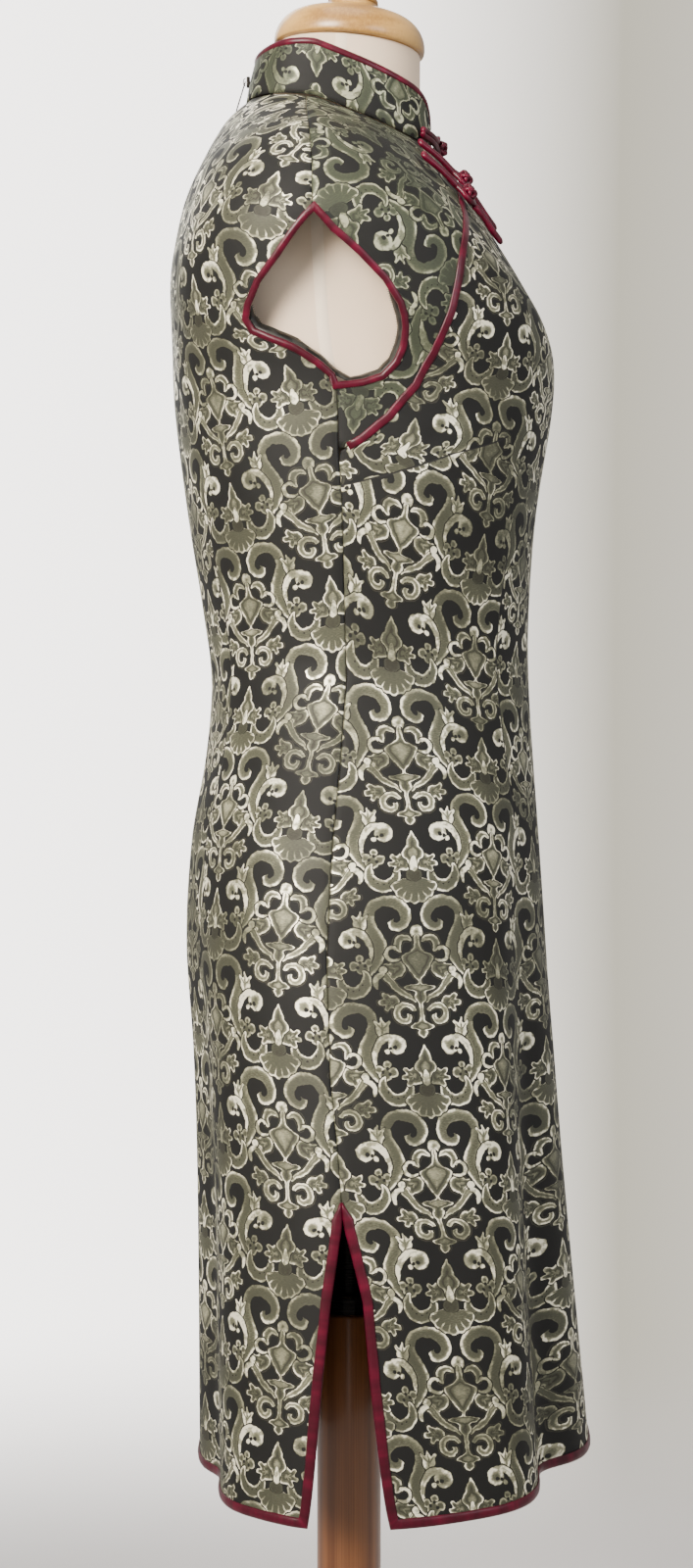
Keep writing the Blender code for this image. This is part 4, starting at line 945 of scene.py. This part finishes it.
def makePanel(name, node, start, end, high, columns, seams, reference, anchor, materials, turnCloth=None,
        seamAt=None):
    levels = fineLevels(0, high, panelCut["step"])
    left, right = start(levels), end(levels)
    middle = (left + right) / 2
    width = (right - left) * np.linalg.norm(slopes(middle, levels)[0], axis=1)
    fit = np.clip(width / panelCut["narrow"], 0.15, 1)
    near = panelCut["seamColumns"]
    angles = [left] + [across(left, levels, distance * fit) for distance in near[:-1]]
    inner, outer = across(left, levels, near[-1] * fit), across(right, levels, -near[-1] * fit)
    angles += [inner + (outer - inner) * share for share in np.linspace(0, 1, columns)]
    angles += [across(right, levels, -distance * fit) for distance in near[-2::-1]]
    angles = np.stack(angles + [right], 1)
    grid = np.repeat(levels[:, None], angles.shape[1], 1)
    lift = np.zeros_like(angles)
    for side, sewn in zip((1, -1), seams):
        for i, distance in enumerate((0, *near)):
            column = i if side == 1 else -1 - i
            dip = panelCut["seamDip"] * np.exp(-((distance / panelCut["seamHalf"]) ** 2))
            lift[:, column] -= dip * sewn(levels)
    points = worn(angles.ravel(), grid.ravel(), lift.ravel()).reshape(*angles.shape, 3)
    rows, flat = layFlat(start, end, 0, high, reference, anchor)
    span = np.maximum((right - left)[:, None], 1e-6)
    places = np.clip((angles - left[:, None]) / span, 0, 1) * (flat.shape[1] - 1)
    rowPlaces = levels / high * (len(rows) - 1)
    table = sectionAt(flat.reshape(len(rows), -1), rowPlaces).reshape(len(levels), -1, 2)
    uv = np.stack([sectionAt(line, share) for line, share in zip(table, places)])
    if turnCloth is not None:
        uv = uv * -1 + turnCloth
    fromSide = None
    if seamAt:
        # the same layout with its columns running along the side seam, from the underarm to the slit
        edge, target = seamAt
        sewn = (levels >= underarmLevel) & (levels <= slitLevel)
        gain = np.interp(levels, levels[sewn], np.interp(levels[sewn], *target) - np.abs(uv[sewn, edge, 0]))
        fromSide = np.stack([np.abs(uv[..., 0]) + gain[:, None], uv[..., 1]], -1)
    piece = newPiece(name, sheetMesh(name, points, uv, side=fromSide), materials, "form", "brocade", node)
    thicken(piece, panelCut["wall"], 0.0, 1)
    cut = np.ptp(flat.reshape(-1, 2), axis=0)
    area = clothArea(points)
    print(name, "flat", np.round(cut, 3), "area", round(float(area), 4), "rows", len(levels))
    return piece, cut, area


def sewnSide(level):
    return ((level <= tipLevel) | ((level >= underarmLevel) & (level < slitLevel))).astype(float)


def neverSewn(level):
    return np.zeros(len(level))


def alwaysSewn(level):
    return np.ones(len(level))


def belowPlacket(level):
    return ((level > placketEnd) & (level < slitLevel)).astype(float)


# where the columns stand at the seam, by level
seamLevels = np.arange(7, 16)
frontSeam = (seamLevels, [0.247, 0.238, 0.227, 0.227, 0.236, 0.247, 0.254, 0.257, 0.257])
backSeam = (seamLevels, [0.226, 0.211, 0.202, 0.206, 0.216, 0.2215, 0.228, 0.231, 0.232])


def makePanels():
    # name, node, its two edges, last level, columns, seams, angle and level it is laid flat from, cloths,
    # the shift of a pattern turned round, the edge and seam that the pattern's columns follow
    jobs = [
        ("front_cloth", "front_panel", frontLeft, frontRight, hemLevel, 84, (sewnSide, belowPlacket), 0, 8,
         (brocadeFront, brocadeReverse), None, (0, frontSeam)),
        ("yoke_cloth", "front_yoke", yokeStart, yokeEnd, placketEnd - 0.03, 26, (neverSewn, sewnSide), 0, 0,
         (brocadeShadedCopy, brocadeReverse), (0.051, -0.056)),
        ("back_cloth_right", "back_panel_right", backRight, centreRight, hemLevel, 40, (sewnSide, alwaysSewn),
         180, 8, (brocadeBack, brocadeReverse), None, (0, backSeam)),
        ("back_cloth_left", "back_panel_left", centreLeft, backLeft, hemLevel, 40, (alwaysSewn, sewnSide),
         180, 8, (brocadeBack, brocadeReverse), None, (-1, backSeam)),
    ]
    return [makePanel(*job) for job in jobs]


panels = makePanels()
print("panels sewn")


# ---- collar

collarCut = {"height": 0.040, "wall": 0.0012, "corner": 36.0, "start": 2.8}


def collarPoint(angle, rise, lift=0.0):
    angle = np.asarray(angle, float)
    base = plainDress(angle, angle * 0)
    tall = collarCut["height"] * (1 - 0.2 * np.maximum(-np.cos(np.radians(angle)), 0) ** 2)
    lean = rise * (0.0025 + np.where(np.abs(angle) < 90, 0.0005, -0.0050) * np.cos(np.radians(angle)))
    flat = unit(base * (1, 1, 0))
    up = (tall * rise)[:, None] * np.array((0, 0, 1))
    return base + (0, 0, 0.0016) + flat * (lift - lean)[:, None] + up


def collarRise(angle):
    corner = collarCut["corner"]
    near = np.minimum(np.abs(angle), corner) / corner
    return np.where(np.abs(angle) >= corner, 1, 0.16 + 0.84 * np.sqrt(1 - (1 - near) ** 2))


def collarAngles():
    near = collarCut["start"] + (collarCut["corner"] - collarCut["start"]) * np.linspace(0, 1, 26) ** 1.7
    return np.concatenate([near, np.linspace(collarCut["corner"], 179.7, 66)[1:]])


def makeCollar():
    pieces = []
    for side, label in ((1, "right"), (-1, "left")):
        angles = collarAngles()
        heights = np.linspace(1, 0, 11)
        if side < 0:
            angles = -angles[::-1]
        top = collarRise(angles)
        ripple = 0.0003 * np.sin(np.radians(angles * 7))
        rows = [collarPoint(angles, top * h, 0.0006 * np.sin(pi * h) + ripple * h) for h in heights]
        points = np.stack(rows)
        run = runAlong(points[-1])
        uv = np.stack([np.stack([-(run + 0.012), top * h * collarCut["height"] + 0.02], 1) for h in heights])
        cloth = newPiece("collar_cloth_" + label, sheetMesh("collar_cloth_" + label, points, uv),
            (brocadeShadedCopy, brocadeReverse), "form", "brocade", "collar_" + label)
        thicken(cloth, collarCut["wall"], 0.0, 1)
        pieces.append((cloth, (np.ptp(uv[..., 0]), collarCut["height"]), clothArea(points)))
        edge = points[0][::side]
        out = unit(edge * (1, 1, 0) - (0, 0.020, 0))
        wrapBinding("collar_piping_" + label, edge, out, side, "collar_binding_" + label)
    return pieces


# ---- satin bindings

hemTrim = {"width": 0.0058, "crown": 0.0020, "taper": 0.012}
neckTrim = {"width": 0.0038, "crown": 0.0018, "taper": 0}
placketTrim = {"width": 0.0057, "crown": 0.0019}
satinWall = 0.0005


def wobble(run, scale, seed):
    # a few slow waves along a seam, between -1 and 1
    draw = np.random.default_rng(seed)
    waves = ((1.0, 0.45), (2.3, 0.3), (4.1, 0.25))
    return sum(np.sin(run / scale * f + draw.uniform(0, tau)) * w for f, w in waves)


def flapProfile(trim):
    width, crown = trim["width"], trim["crown"]
    outer = [
        (width, 0.0007), (width * 0.985, 0.45 * crown + 0.0004), (width * 0.84, 0.82 * crown),
        (width * 0.62, 0.97 * crown), (width * 0.38, crown), (width * 0.16, 0.92 * crown),
        (0, 0.74 * crown), (-0.0008, 0.42 * crown),
    ]
    return outer + [(-0.0011, 0.0)] + [(w, -h) for w, h in outer[::-1]]


def inwardWays(points, normals, closed):
    ahead = unit(np.roll(points, -1, 0) - points)
    behind = np.roll(ahead, 1, 0)
    if not closed:
        ahead[-1], behind[0] = behind[-1], ahead[0]
    a, b = unit(np.cross(normals, behind)), unit(np.cross(normals, ahead))
    return (a + b) / np.maximum(1 + (a * b).sum(1), 0.6)[:, None]


def clearOfCorners(points, reach, closed):
    # drops the points so near a corner that its mitre would cross them
    ahead = unit(np.roll(points, -1, 0) - points)
    turn = (ahead * np.roll(ahead, 1, 0)).sum(1)
    corners = turn < cos(radians(35))
    if not closed:
        corners[[0, -1]] = False
    kept = np.ones(len(points), bool)
    for corner in points[corners]:
        kept &= np.linalg.norm(points - corner, axis=1) > reach
    return kept | corners


def satinStrip(name, grid, run, width, node, closed=False):
    uv = np.stack(np.meshgrid(run, np.linspace(0, width, grid.shape[1]), indexing="ij"), -1)
    piece = newPiece(name, sheetMesh(name, grid, uv, closed), (satin,), "form", "burgundy_satin", node)
    return thicken(piece, satinWall, -1.0, even=False)


def foldBinding(name, angle, level, trim, closed, node, seed):
    # satin folded over an edge, with the cloth on the path's left as seen from outside
    points = worn(angle, level)
    kept = clearOfCorners(points, trim["width"] * 1.1, closed)
    angle, level, points = angle[kept], level[kept], points[kept]
    normals = outward(angle, level)
    into = inwardWays(points, normals, closed)
    length, way = np.linalg.norm(into, axis=1), unit(into)
    run = runAlong(points)
    if trim["taper"]:
        for far in (run, run[-1] - run):
            length = length * np.interp(far, [0, trim["taper"]], [0.12, 1])
    wide, puff = 1 + 0.05 * wobble(run, 0.016, seed), 1 + 0.10 * wobble(run, 0.007, seed + 1)
    rows = []
    for w, h in flapProfile(trim):
        if w > 0:
            rows.append(worn(*walk(angle, level, way, w * length * wide), h * puff))
        else:
            rows.append(points + into * w + normals * (h * puff)[:, None])
    grid = np.stack(rows, 1)
    return satinStrip(name, grid, run, 2 * trim["width"], node, closed)


def wrapBinding(name, points, normals, side, node):
    into = inwardWays(points, normals, False)
    if into[len(into) // 2][2] > 0:
        points, normals = points[::-1], normals[::-1]
        into = inwardWays(points, normals, False)
    run = runAlong(points)
    puff = 1 + 0.08 * wobble(run, 0.007, 40 + side)
    grid = np.stack([points + into * w + normals * (h * puff)[:, None] for w, h in flapProfile(neckTrim)], 1)
    return satinStrip(name, grid, run, 0.008, node)


def slitPath(level, back):
    # the slit's edge, closing to a point on the side seam a little above where the cloth parts
    sign, column = (1, 2) if back else (-1, 1)
    edge = np.vstack([[(14.86, 0.0002, 0.0002), (14.93, 0.0008, 0.0008)], slitEdge])
    gap = np.interp(level, edge[:, 0], edge[:, column])
    return across(np.interp(level, *sideLine.T), level, sign * gap)


def hemPath(low, high, lowSide, highSide):
    slit = np.concatenate([[14.86, 14.9, 14.95], fineLevels(slitLevel, hemLevel, 0.0035)[:-1]])
    start, end = lowSide(slit), highSide(slit)
    bottom = np.linspace(high, low, int((high - low) / 0.75) + 2)
    angle = np.concatenate([end, bottom, start[::-1]])
    return angle, np.concatenate([slit, np.full(len(bottom), 16.0), slit[::-1]])


def makeBindings():
    corners = [6.15, 6.3, 6.42, 6.9, 6.97]
    levels = np.unique(np.concatenate([fineLevels(tipLevel, underarmLevel, 0.003), corners]))
    front, back = sideEdge(levels, False), sideEdge(levels, True)
    front[-1] = angleAt(np.array([0.008]), np.array([7.0]))[0]
    angle = np.concatenate([front, back[1:-1][::-1]])
    level = np.concatenate([levels, levels[1:-1][::-1]])
    foldBinding("armhole_piping_right", angle, level, neckTrim, True, "armhole_binding_right", 11)
    foldBinding("armhole_piping_left", -angle[::-1], level[::-1], neckTrim, True, "armhole_binding_left", 12)
    end = np.array([16.0])
    front, back = slitPath(end, False)[0], slitPath(end, True)[0]
    path = hemPath(-front, front, lambda level: -slitPath(level, False), lambda level: slitPath(level, False))
    foldBinding("hem_piping_front", *path, hemTrim, False, "front_hem_binding", 13)
    path = hemPath(back, 360 - back, lambda level: slitPath(level, True),
        lambda level: 360 - slitPath(level, True))
    foldBinding("hem_piping_back", *path, hemTrim, False, "back_hem_binding", 14)


def makePlacket():
    level = fineLevels(0.3, placketEnd, 0.003)
    level = level[level <= placketEnd - 0.02]
    angle = placketAngle(level)
    points, normals = worn(angle, level), outward(angle, level)
    into = inwardWays(points, normals, False)
    run = runAlong(points)
    half = placketTrim["width"] / 2 * (1 + 0.05 * wobble(run, 0.02, 21))
    puff = 1 + 0.08 * wobble(run, 0.008, 22)
    crown = placketTrim["crown"]
    rising = [(-1, 0.0006), (-1, 0.0012), (-0.8, 0.85 * crown), (-0.4, 0.98 * crown)]
    profile = rising + [(0, crown)] + [(-w, h) for w, h in rising[::-1]]
    grid = np.stack([points + into * (w * half)[:, None] + normals * (h * puff)[:, None] for w,
        h in profile[::-1]], 1)
    satinStrip("placket_piping", grid, run, 0.006, "placket_binding")


collars = makeCollar()
makeBindings()
makePlacket()
print("collar and bindings done")

# ---- frogs: rolled satin cords laid double, with woven buttons

frogCut = {"cord": 0.0021, "reach": 0.040, "button": 0.0053, "strand": 0.0016, "underlay": 0.0022,
    "gap": 0.0006}


def smoothPath(points, step=0.0012):
    # a Catmull-Rom line through the points, cut in even steps
    points = np.array(points)
    dense = sectionAt(points, np.linspace(0, len(points) - 1.0001, len(points) * 14))
    run = runAlong(dense)
    count = max(int(run[-1] / step), 6)
    return np.stack([np.interp(np.linspace(0, run[-1], count), run, dense[:, k]) for k in range(3)], 1)


def cordMesh(name, path, radius, closed=False, sides=12, twist=0.0):
    # a round cord along a path, with a soft ridge that turns slowly round it where the strip is sewn
    way = unit(np.roll(path, -1, 0) - np.roll(path, 1, 0)) if closed else unit(np.gradient(path, axis=0))
    up = np.array((0.3, 0.2, 1.0))
    rows = []
    side = unit(np.cross(way[:1], up[None]))[0]
    run = runAlong(path)
    turns = np.arange(sides) / sides * tau
    for i, (here, along) in enumerate(zip(path, way)):
        side = side - along * (side @ along)
        side = side / np.linalg.norm(side)
        other = np.cross(along, side)
        swell = radius * (1 + 0.05 * np.sin(run[i] / 0.004) + 0.07 * np.cos(turns - run[i] * twist))
        if not closed:
            swell = swell * min(1, 0.35 + i * 0.5, 0.35 + (len(path) - 1 - i) * 0.5)
        ring = here + np.outer(np.cos(turns) * swell, side) + np.outer(np.sin(turns) * swell, other)
        rows.append(np.vstack([ring, ring[:1]]))
    grid = np.stack(rows)
    if closed:
        grid = np.concatenate([grid, grid[:1]])
        run = np.append(run, run[-1] + 0.001)
    uv = np.stack(np.meshgrid(run, np.linspace(0, 0.01, sides + 1), indexing="ij"), -1)
    return cleanMesh(sheetMesh(name, grid, uv), not closed)


def buttonPath(centre, out, along):
    # the woven ball: one cord that goes over and under itself round a small sphere
    t = np.linspace(0, tau, 150, endpoint=False)
    side = np.cross(along, out)
    lat, lon = radians(50) * np.sin(4 * t), 3 * t
    radius = frogCut["button"] - frogCut["strand"] * 0.75 + 0.0007 * np.cos(8 * t + 0.6)
    local = np.stack([np.cos(lat) * np.cos(lon), np.cos(lat) * np.sin(lon), np.sin(lat)], 1) * radius[:, None]
    return centre + local @ np.stack([along, side, out])


def layFrog(name, button, loopRun, tailRun, out, node):
    along = unit((loopRun[-1] - loopRun[0])[None])[0]
    along = along - out * (along @ out)
    along /= np.linalg.norm(along)
    side = np.cross(along, out)
    offset = side * (frogCut["cord"] + 0.00012)
    neck = frogCut["button"] + frogCut["cord"] + 0.0002
    arc = [button - (along * cos(t) - side * sin(t)) * neck - out * 0.0008 for t in np.radians((135, 90, 45,
        0, -45, -90, -135))]
    end = loopRun[-1] + along * frogCut["cord"]
    tailEnd = tailRun[-1] - along * frogCut["cord"]
    knot = [tailRun[0] + offset, tailRun[0] - out * 0.0006, tailRun[0] - offset]

    def doubled(run, turn, stop, pinch):
        # back along one side of the run, round its turn and out along the other side
        inward, outwards = [p + offset for p in run[:0:-1]], [p - offset for p in run[1:]]
        return [stop + pinch] + inward + turn + outwards + [stop - pinch]

    loop, tail = doubled(loopRun, arc, end, -offset * 0.2), doubled(tailRun, knot, tailEnd, offset * 0.2)
    for part, path in (("loop", loop), ("tail", tail)):
        newPiece(f"{name}_{part}_cord", cordMesh(name + part, smoothPath(path), frogCut["cord"], twist=260),
            (satin,), "form", "burgundy_satin", f"{node}_{part}")
    ball = bmesh.new()
    bmesh.ops.create_icosphere(ball, subdivisions=3, radius=frogCut["button"] * 0.72,
        matrix=Matrix.Translation(Vector(button + out * 0.0020)))
    core = bpy.data.meshes.new(name + "_core")
    ball.to_mesh(core)
    ball.free()
    weave = cordMesh(name + "_button", buttonPath(button + out * 0.0020, out, along), frogCut["strand"],
        closed=True, sides=10)
    join = bmesh.new()
    join.from_mesh(weave)
    join.from_mesh(core)
    join.to_mesh(weave)
    join.free()
    weave.shade_smooth()
    newPiece(name + "_button", weave, (satin,), "form", "burgundy_satin", node + "_knot")


def makeFrogs():
    lift = frogCut["underlay"] + frogCut["cord"] + frogCut["gap"]
    for name, at in (("frog_upper", 1.72), ("frog_lower", 2.62)):
        level = np.array([at, at + 0.1])
        angle = placketAngle(level)
        here, ahead = plainDress(angle, level)
        out = outward(angle, level)[0]
        up = unit(np.cross(out, ahead - here)[None])[0]
        up = up * np.sign(up[2])

        def run(way, distances):
            places = [walk(angle[:1], level[:1], way, d) for d in distances]
            return [worn(a, l, lift)[0] for a, l in places]

        button = here + out * (lift + 0.0012)
        loopRun = [button] + run(up, (0.010, 0.020, 0.030, frogCut["reach"]))
        tailRun = run(-up, (0.0108, 0.020, 0.030, frogCut["reach"]))
        layFrog(name, button, loopRun, tailRun, out, name)
    out = np.array((0.0, -1.0, 0.0))

    def collarSpot(angle):
        return collarPoint(np.array([angle]), np.array([0.14]), lift + 0.0004)[0]

    button = collarSpot(0.0) + out * 0.0012
    layFrog("frog_collar", button, [button] + [collarSpot(a) for a in (10.0, 17, 25, 33)],
        [collarSpot(-a) for a in (12.0, 17, 25, 33)], out, "frog_collar")


makeFrogs()
print("frogs tied")

# ---- dress form

formTape = {"half": 0.0042, "lift": 0.0004}


def makeForm():
    angles = np.linspace(0, 360, 129)[:-1]
    levels = np.linspace(0, 16, 161)
    grid = ringPoint(formRows, np.tile(angles, len(levels)),
        np.repeat(levels, len(angles))).reshape(len(levels), len(angles), 3)
    mesh = cleanMesh(sheetMesh("form_jersey", np.concatenate([grid, grid[:, :1]], 1)))
    newPiece("form_jersey", mesh, (jersey,), "form", "cream_jersey", "form_torso")
    # woven tape over the side seams and the centre seams
    sideTape = np.array([(0, 96), (1, 96), (2, 94), (5, 90), (8, 94), (16, 92)])
    tapes = {"right": sideTape, "left": sideTape * (1, -1), "front": [(0, 0), (16, 0)],
        "back": [(0, 180), (16, 180)]}
    for label, line in tapes.items():
        level = np.linspace(0.05, 15.97, 170)
        angle = np.interp(level, *np.array(line, float).T)
        middle = ringPoint(formRows, angle, level)
        ahead = ringPoint(formRows, angle + 1, level) - middle
        out = unit(np.cross(ahead, np.gradient(middle, axis=0)))
        rows = []
        for share, lift in ((-1.05, -0.0002), (-0.95, 0.5), (0, 0.8), (0.95, 0.5), (1.05, -0.0002)):
            step = share * formTape["half"] / np.linalg.norm(ahead, axis=1)
            rows.append(ringPoint(formRows, angle + step,
                level) + out * (lift * formTape["lift"] if lift > 0 else lift))
        newPiece("form_tape_" + label, sheetMesh("form_tape_" + label, np.stack(rows, 1)), (seamTape,),
            "form", "cream_jersey")


def lathe(name, profile, material, body, slot, node, place=(0, 0, 0), tilt=0.0, steps=96):
    # a turned piece: profile runs from the axis at its top to the axis at its foot
    profile = np.array(profile)
    turns = np.linspace(0, tau, steps + 1)
    grid = np.stack([np.outer(profile[:, 0], np.cos(turns)), np.outer(profile[:, 0], np.sin(turns)),
        np.repeat(profile[:, 1:], steps + 1, 1)], -1)
    mesh = cleanMesh(sheetMesh(name, grid), False, Matrix.Translation(place) @ Matrix.Rotation(tilt, 4, "X"))
    return newPiece(name, mesh, (material,), body, slot, node)


capSeat = (0, 0, 1.4632)


def bow(centreR, centreZ, radius, start, end, steps=12):
    return [(centreR + radius * cos(t), centreZ + radius * sin(t)) for t in np.radians(np.linspace(start, end,
        steps))]


def makeWood():
    cap = [(0, 0.0345), (0.0178, 0.0345), (0.0186, 0.0338), (0.0190, 0.0318), (0.0205, 0.0303),
        (0.0225, 0.0295), (0.0275, 0.0277), (0.0330, 0.0255)]
    cap += bow(0.0330, 0.0030, 0.0225, 80, 2, 16) + [(0.0553, 0.0016), (0.0549, 0.0006), (0.0540, 0.0),
        (0.03, 0.0), (0, 0)]
    lathe("neck_cap_wood", cap, capWood, "form", "lacquered_wood", "neck_cap", capSeat, radians(5))
    knob = [(0, 0.062)] + bow(0.0084, 0.052, 0.0100, 88, 0, 12) + [(0.0186, 0.050), (0.0172, 0.047),
        (0.0160, 0.0445), (0.0158, 0.042), (0.0168, 0.0395), (0.0182, 0.0372), (0.0186, 0.0350),
        (0.0180, 0.0346), (0, 0.0346)]
    lathe("neck_finial_wood", knob, capWood, "form", "lacquered_wood", "neck_finial", capSeat, radians(5))
    pole = [(0.0129, 0.300), (0.0129, 0.5370), (0.0136, 0.538), (0.0214, 0.538), (0.0228, 0.5374),
        (0.0234, 0.536), (0.0234, 0.45), (0.0234, 0.35), (0.0234, 0.2), (0.0234, 0.10), (0.0234, 0.032),
        (0.0230, 0.0283), (0, 0.0283)]
    lathe("stand_pole_wood", [(0, 0.300)] + pole, poleWood, "stand", "lacquered_wood", "stand_pole", steps=72)
    base = [(0, 0.028), (0.030, 0.028), (0.0315, 0.0268), (0.033, 0.028), (0.10, 0.028), (0.178, 0.028),
        (0.1795, 0.0268), (0.181, 0.028)]
    base += bow(0.190, 0.018, 0.010, 90, 0, 10) + [(0.200, 0.012), (0.200, 0.003), (0.1985, 0.0006),
        (0.1965, 0), (0.1, 0), (0, 0)]
    lathe("stand_base_wood", base, baseWood, "stand", "lacquered_wood", "stand_base", steps=128)


def makeSteel():
    for name in ("stand_rod", "pole_ferrule"):
        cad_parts[name].material_slots[0].material = rodSteel
    for name in ("zip_chain", "zip_slider", "zip_bridge", "zip_pull_tab"):
        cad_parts[name].material_slots[0].material = zipMetal


# ---- overlocked seam edges inside the armholes, and the zip's coil

edgeTrim = {"turnIn": 0.0065, "pitch": 0.0017, "thread": 0.00022, "length": 0.0034}
zipCoil = {"pitch": 0.0013, "thread": 0.00045, "length": 0.0036}


def threadTree(name, material):
    # stitches or teeth: one long bead every pitch along a line, slanted across it
    tree = bpy.data.node_groups.new(name, "GeometryNodeTree")
    tree.interface.new_socket("Geometry", in_out="INPUT", socket_type="NodeSocketGeometry")
    for label, value in (("Pitch", 0.002), ("Thread", 0.0003), ("Length", 0.003), ("Slant", 0.5)):
        socket = tree.interface.new_socket(label, in_out="INPUT", socket_type="NodeSocketFloat")
        socket.default_value = value
    tree.interface.new_socket("Geometry", in_out="OUTPUT", socket_type="NodeSocketGeometry")

    inputs = addNode(tree, "NodeGroupInput").node.outputs
    line = addNode(tree, "GeometryNodeMeshToCurve", inputs["Geometry"])
    line = addNode(tree, "GeometryNodeResampleCurve", line, None, None, inputs["Pitch"], mode="LENGTH")
    bead = addNode(tree, "GeometryNodeMeshUVSphere", 6, 4, 1.0)
    along = addNode(tree, "GeometryNodeInputTangent")
    turn = addNode(tree, "FunctionNodeAlignRotationToVector", None, None, along, axis="X")
    lean = addNode(tree, "ShaderNodeCombineXYZ", 0.0, 0.0, inputs["Slant"])
    turn = addNode(tree, "FunctionNodeRotateRotation", turn, lean, rotation_space="LOCAL")
    sizes = addNode(tree, "ShaderNodeCombineXYZ", inputs["Thread"], inputs["Length"], inputs["Thread"])
    beads = addNode(tree, "GeometryNodeInstanceOnPoints", line, None, bead, None, None, turn, sizes)
    whole = addNode(tree, "GeometryNodeRealizeInstances", beads)
    addNode(tree, "NodeGroupOutput", addNode(tree, "GeometryNodeSetMaterial", whole, None, material))
    return tree


def sewAlong(name, points, tree, values, material, slot):
    line = bpy.data.meshes.new(name + "_line")
    line.from_pydata(points.tolist(), [(i, i + 1) for i in range(len(points) - 1)], [])
    guide = bpy.data.objects.new(name + "_line", line)
    bpy.context.scene.collection.objects.link(guide)
    grow = guide.modifiers.new("thread", "NODES")
    grow.node_group = tree
    for item in tree.interface.items_tree:
        if item.item_type == "SOCKET" and item.in_out == "INPUT" and item.name in values:
            grow[item.identifier] = values[item.name]
    bpy.context.view_layer.update()
    done = guide.evaluated_get(bpy.context.evaluated_depsgraph_get())
    mesh = bpy.data.meshes.new_from_object(done)
    guide.modifiers.clear()
    bpy.data.objects.remove(guide)
    mesh.materials.clear()
    mesh.shade_smooth()
    return newPiece(name, mesh, (material,), "form", slot)


def makeArmholeEdges():
    tree = threadTree("overlock_stitches", edgeThread)
    level = np.concatenate([np.linspace(5.85, 6.9, 30), [6.94, 6.97, 6.985]])
    rear = np.linspace(6.9, 6.0, 24)
    angle = np.concatenate([sideEdge(level, False), sideEdge(rear, True)])
    level = np.concatenate([level, rear])
    for label, side in (("right", 1), ("left", -1)):
        points, normals = worn(angle, level), outward(angle, level)
        into = inwardWays(points, normals, False)
        run = runAlong(points)
        reach = edgeTrim["turnIn"] * (1 + 0.15 * wobble(run, 0.012, 60)) * np.interp(run,
            [0, 0.012, run[-1] - 0.012, run[-1]], [0.2, 1, 1, 0.2])
        rows = [points - normals * 0.0014 + into * 0.0002, points - normals * (0.0014 + 0.45 * reach)[:,
            None] - into * (0.30 * reach)[:, None],
                points - normals * (0.0014 + reach)[:, None] - into * (0.42 * reach)[:, None]]
        rows = [r * (side, 1, 1) for r in rows]
        uv = np.stack([np.stack([run, np.full(len(run), 0.004 * i)], 1) for i in range(3)])
        strip = newPiece("armhole_edge_" + label, sheetMesh("armhole_edge_" + label,
            np.stack(rows if side < 0 else rows[::-1]), uv), (brocadeReverse,), "form", "brocade")
        thicken(strip, 0.0008, 0.0)
        values = {"Pitch": edgeTrim["pitch"], "Thread": edgeTrim["thread"], "Length": edgeTrim["length"] / 2,
            "Slant": 0.25}
        sewAlong("overlock_" + label, rows[-1], tree, values, edgeThread, "brocade")


def makeZipCoil():
    tree = threadTree("zip_coil", zipMetal)
    level = np.linspace(0.5, 11.8, 160)
    angle = np.full(len(level), 180.0)
    points = plainDress(angle, level) - outward(angle, level) * 0.0012
    values = {"Pitch": zipCoil["pitch"], "Thread": zipCoil["thread"], "Length": zipCoil["length"] / 2,
        "Slant": 0.0}
    sewAlong("zip_teeth", points, tree, values, zipMetal, "dark_steel")


edgeThread = jerseyMaterial("dark_overlock_thread", "#4a4a42", "#3a3a33")
makeArmholeEdges()
makeZipCoil()
makeForm()
makeWood()
makeSteel()
print("form and stand built")


def finishScene():
    trimmings = {
        "front_cloth": ["hem_piping_front", "placket_piping"],
        "back_cloth_right": ["hem_piping_back", "armhole_piping_right", "armhole_edge_right",
        "overlock_right"],
        "back_cloth_left": ["armhole_piping_left", "armhole_edge_left", "overlock_left"],
        "collar_cloth_right": ["collar_piping_right"], "collar_cloth_left": ["collar_piping_left"],
    }
    for frog in ("frog_collar", "frog_upper", "frog_lower"):
        trimmings["front_cloth"] += [frog + "_loop_cord", frog + "_tail_cord", frog + "_button"]
    for piece, cut, area in panels + collars:
        width, length = (round(float(c), 3) for c in cut)
        area = min(round(float(area), 4), width * length)
        print(piece.name, width, length, area)


finishScene()
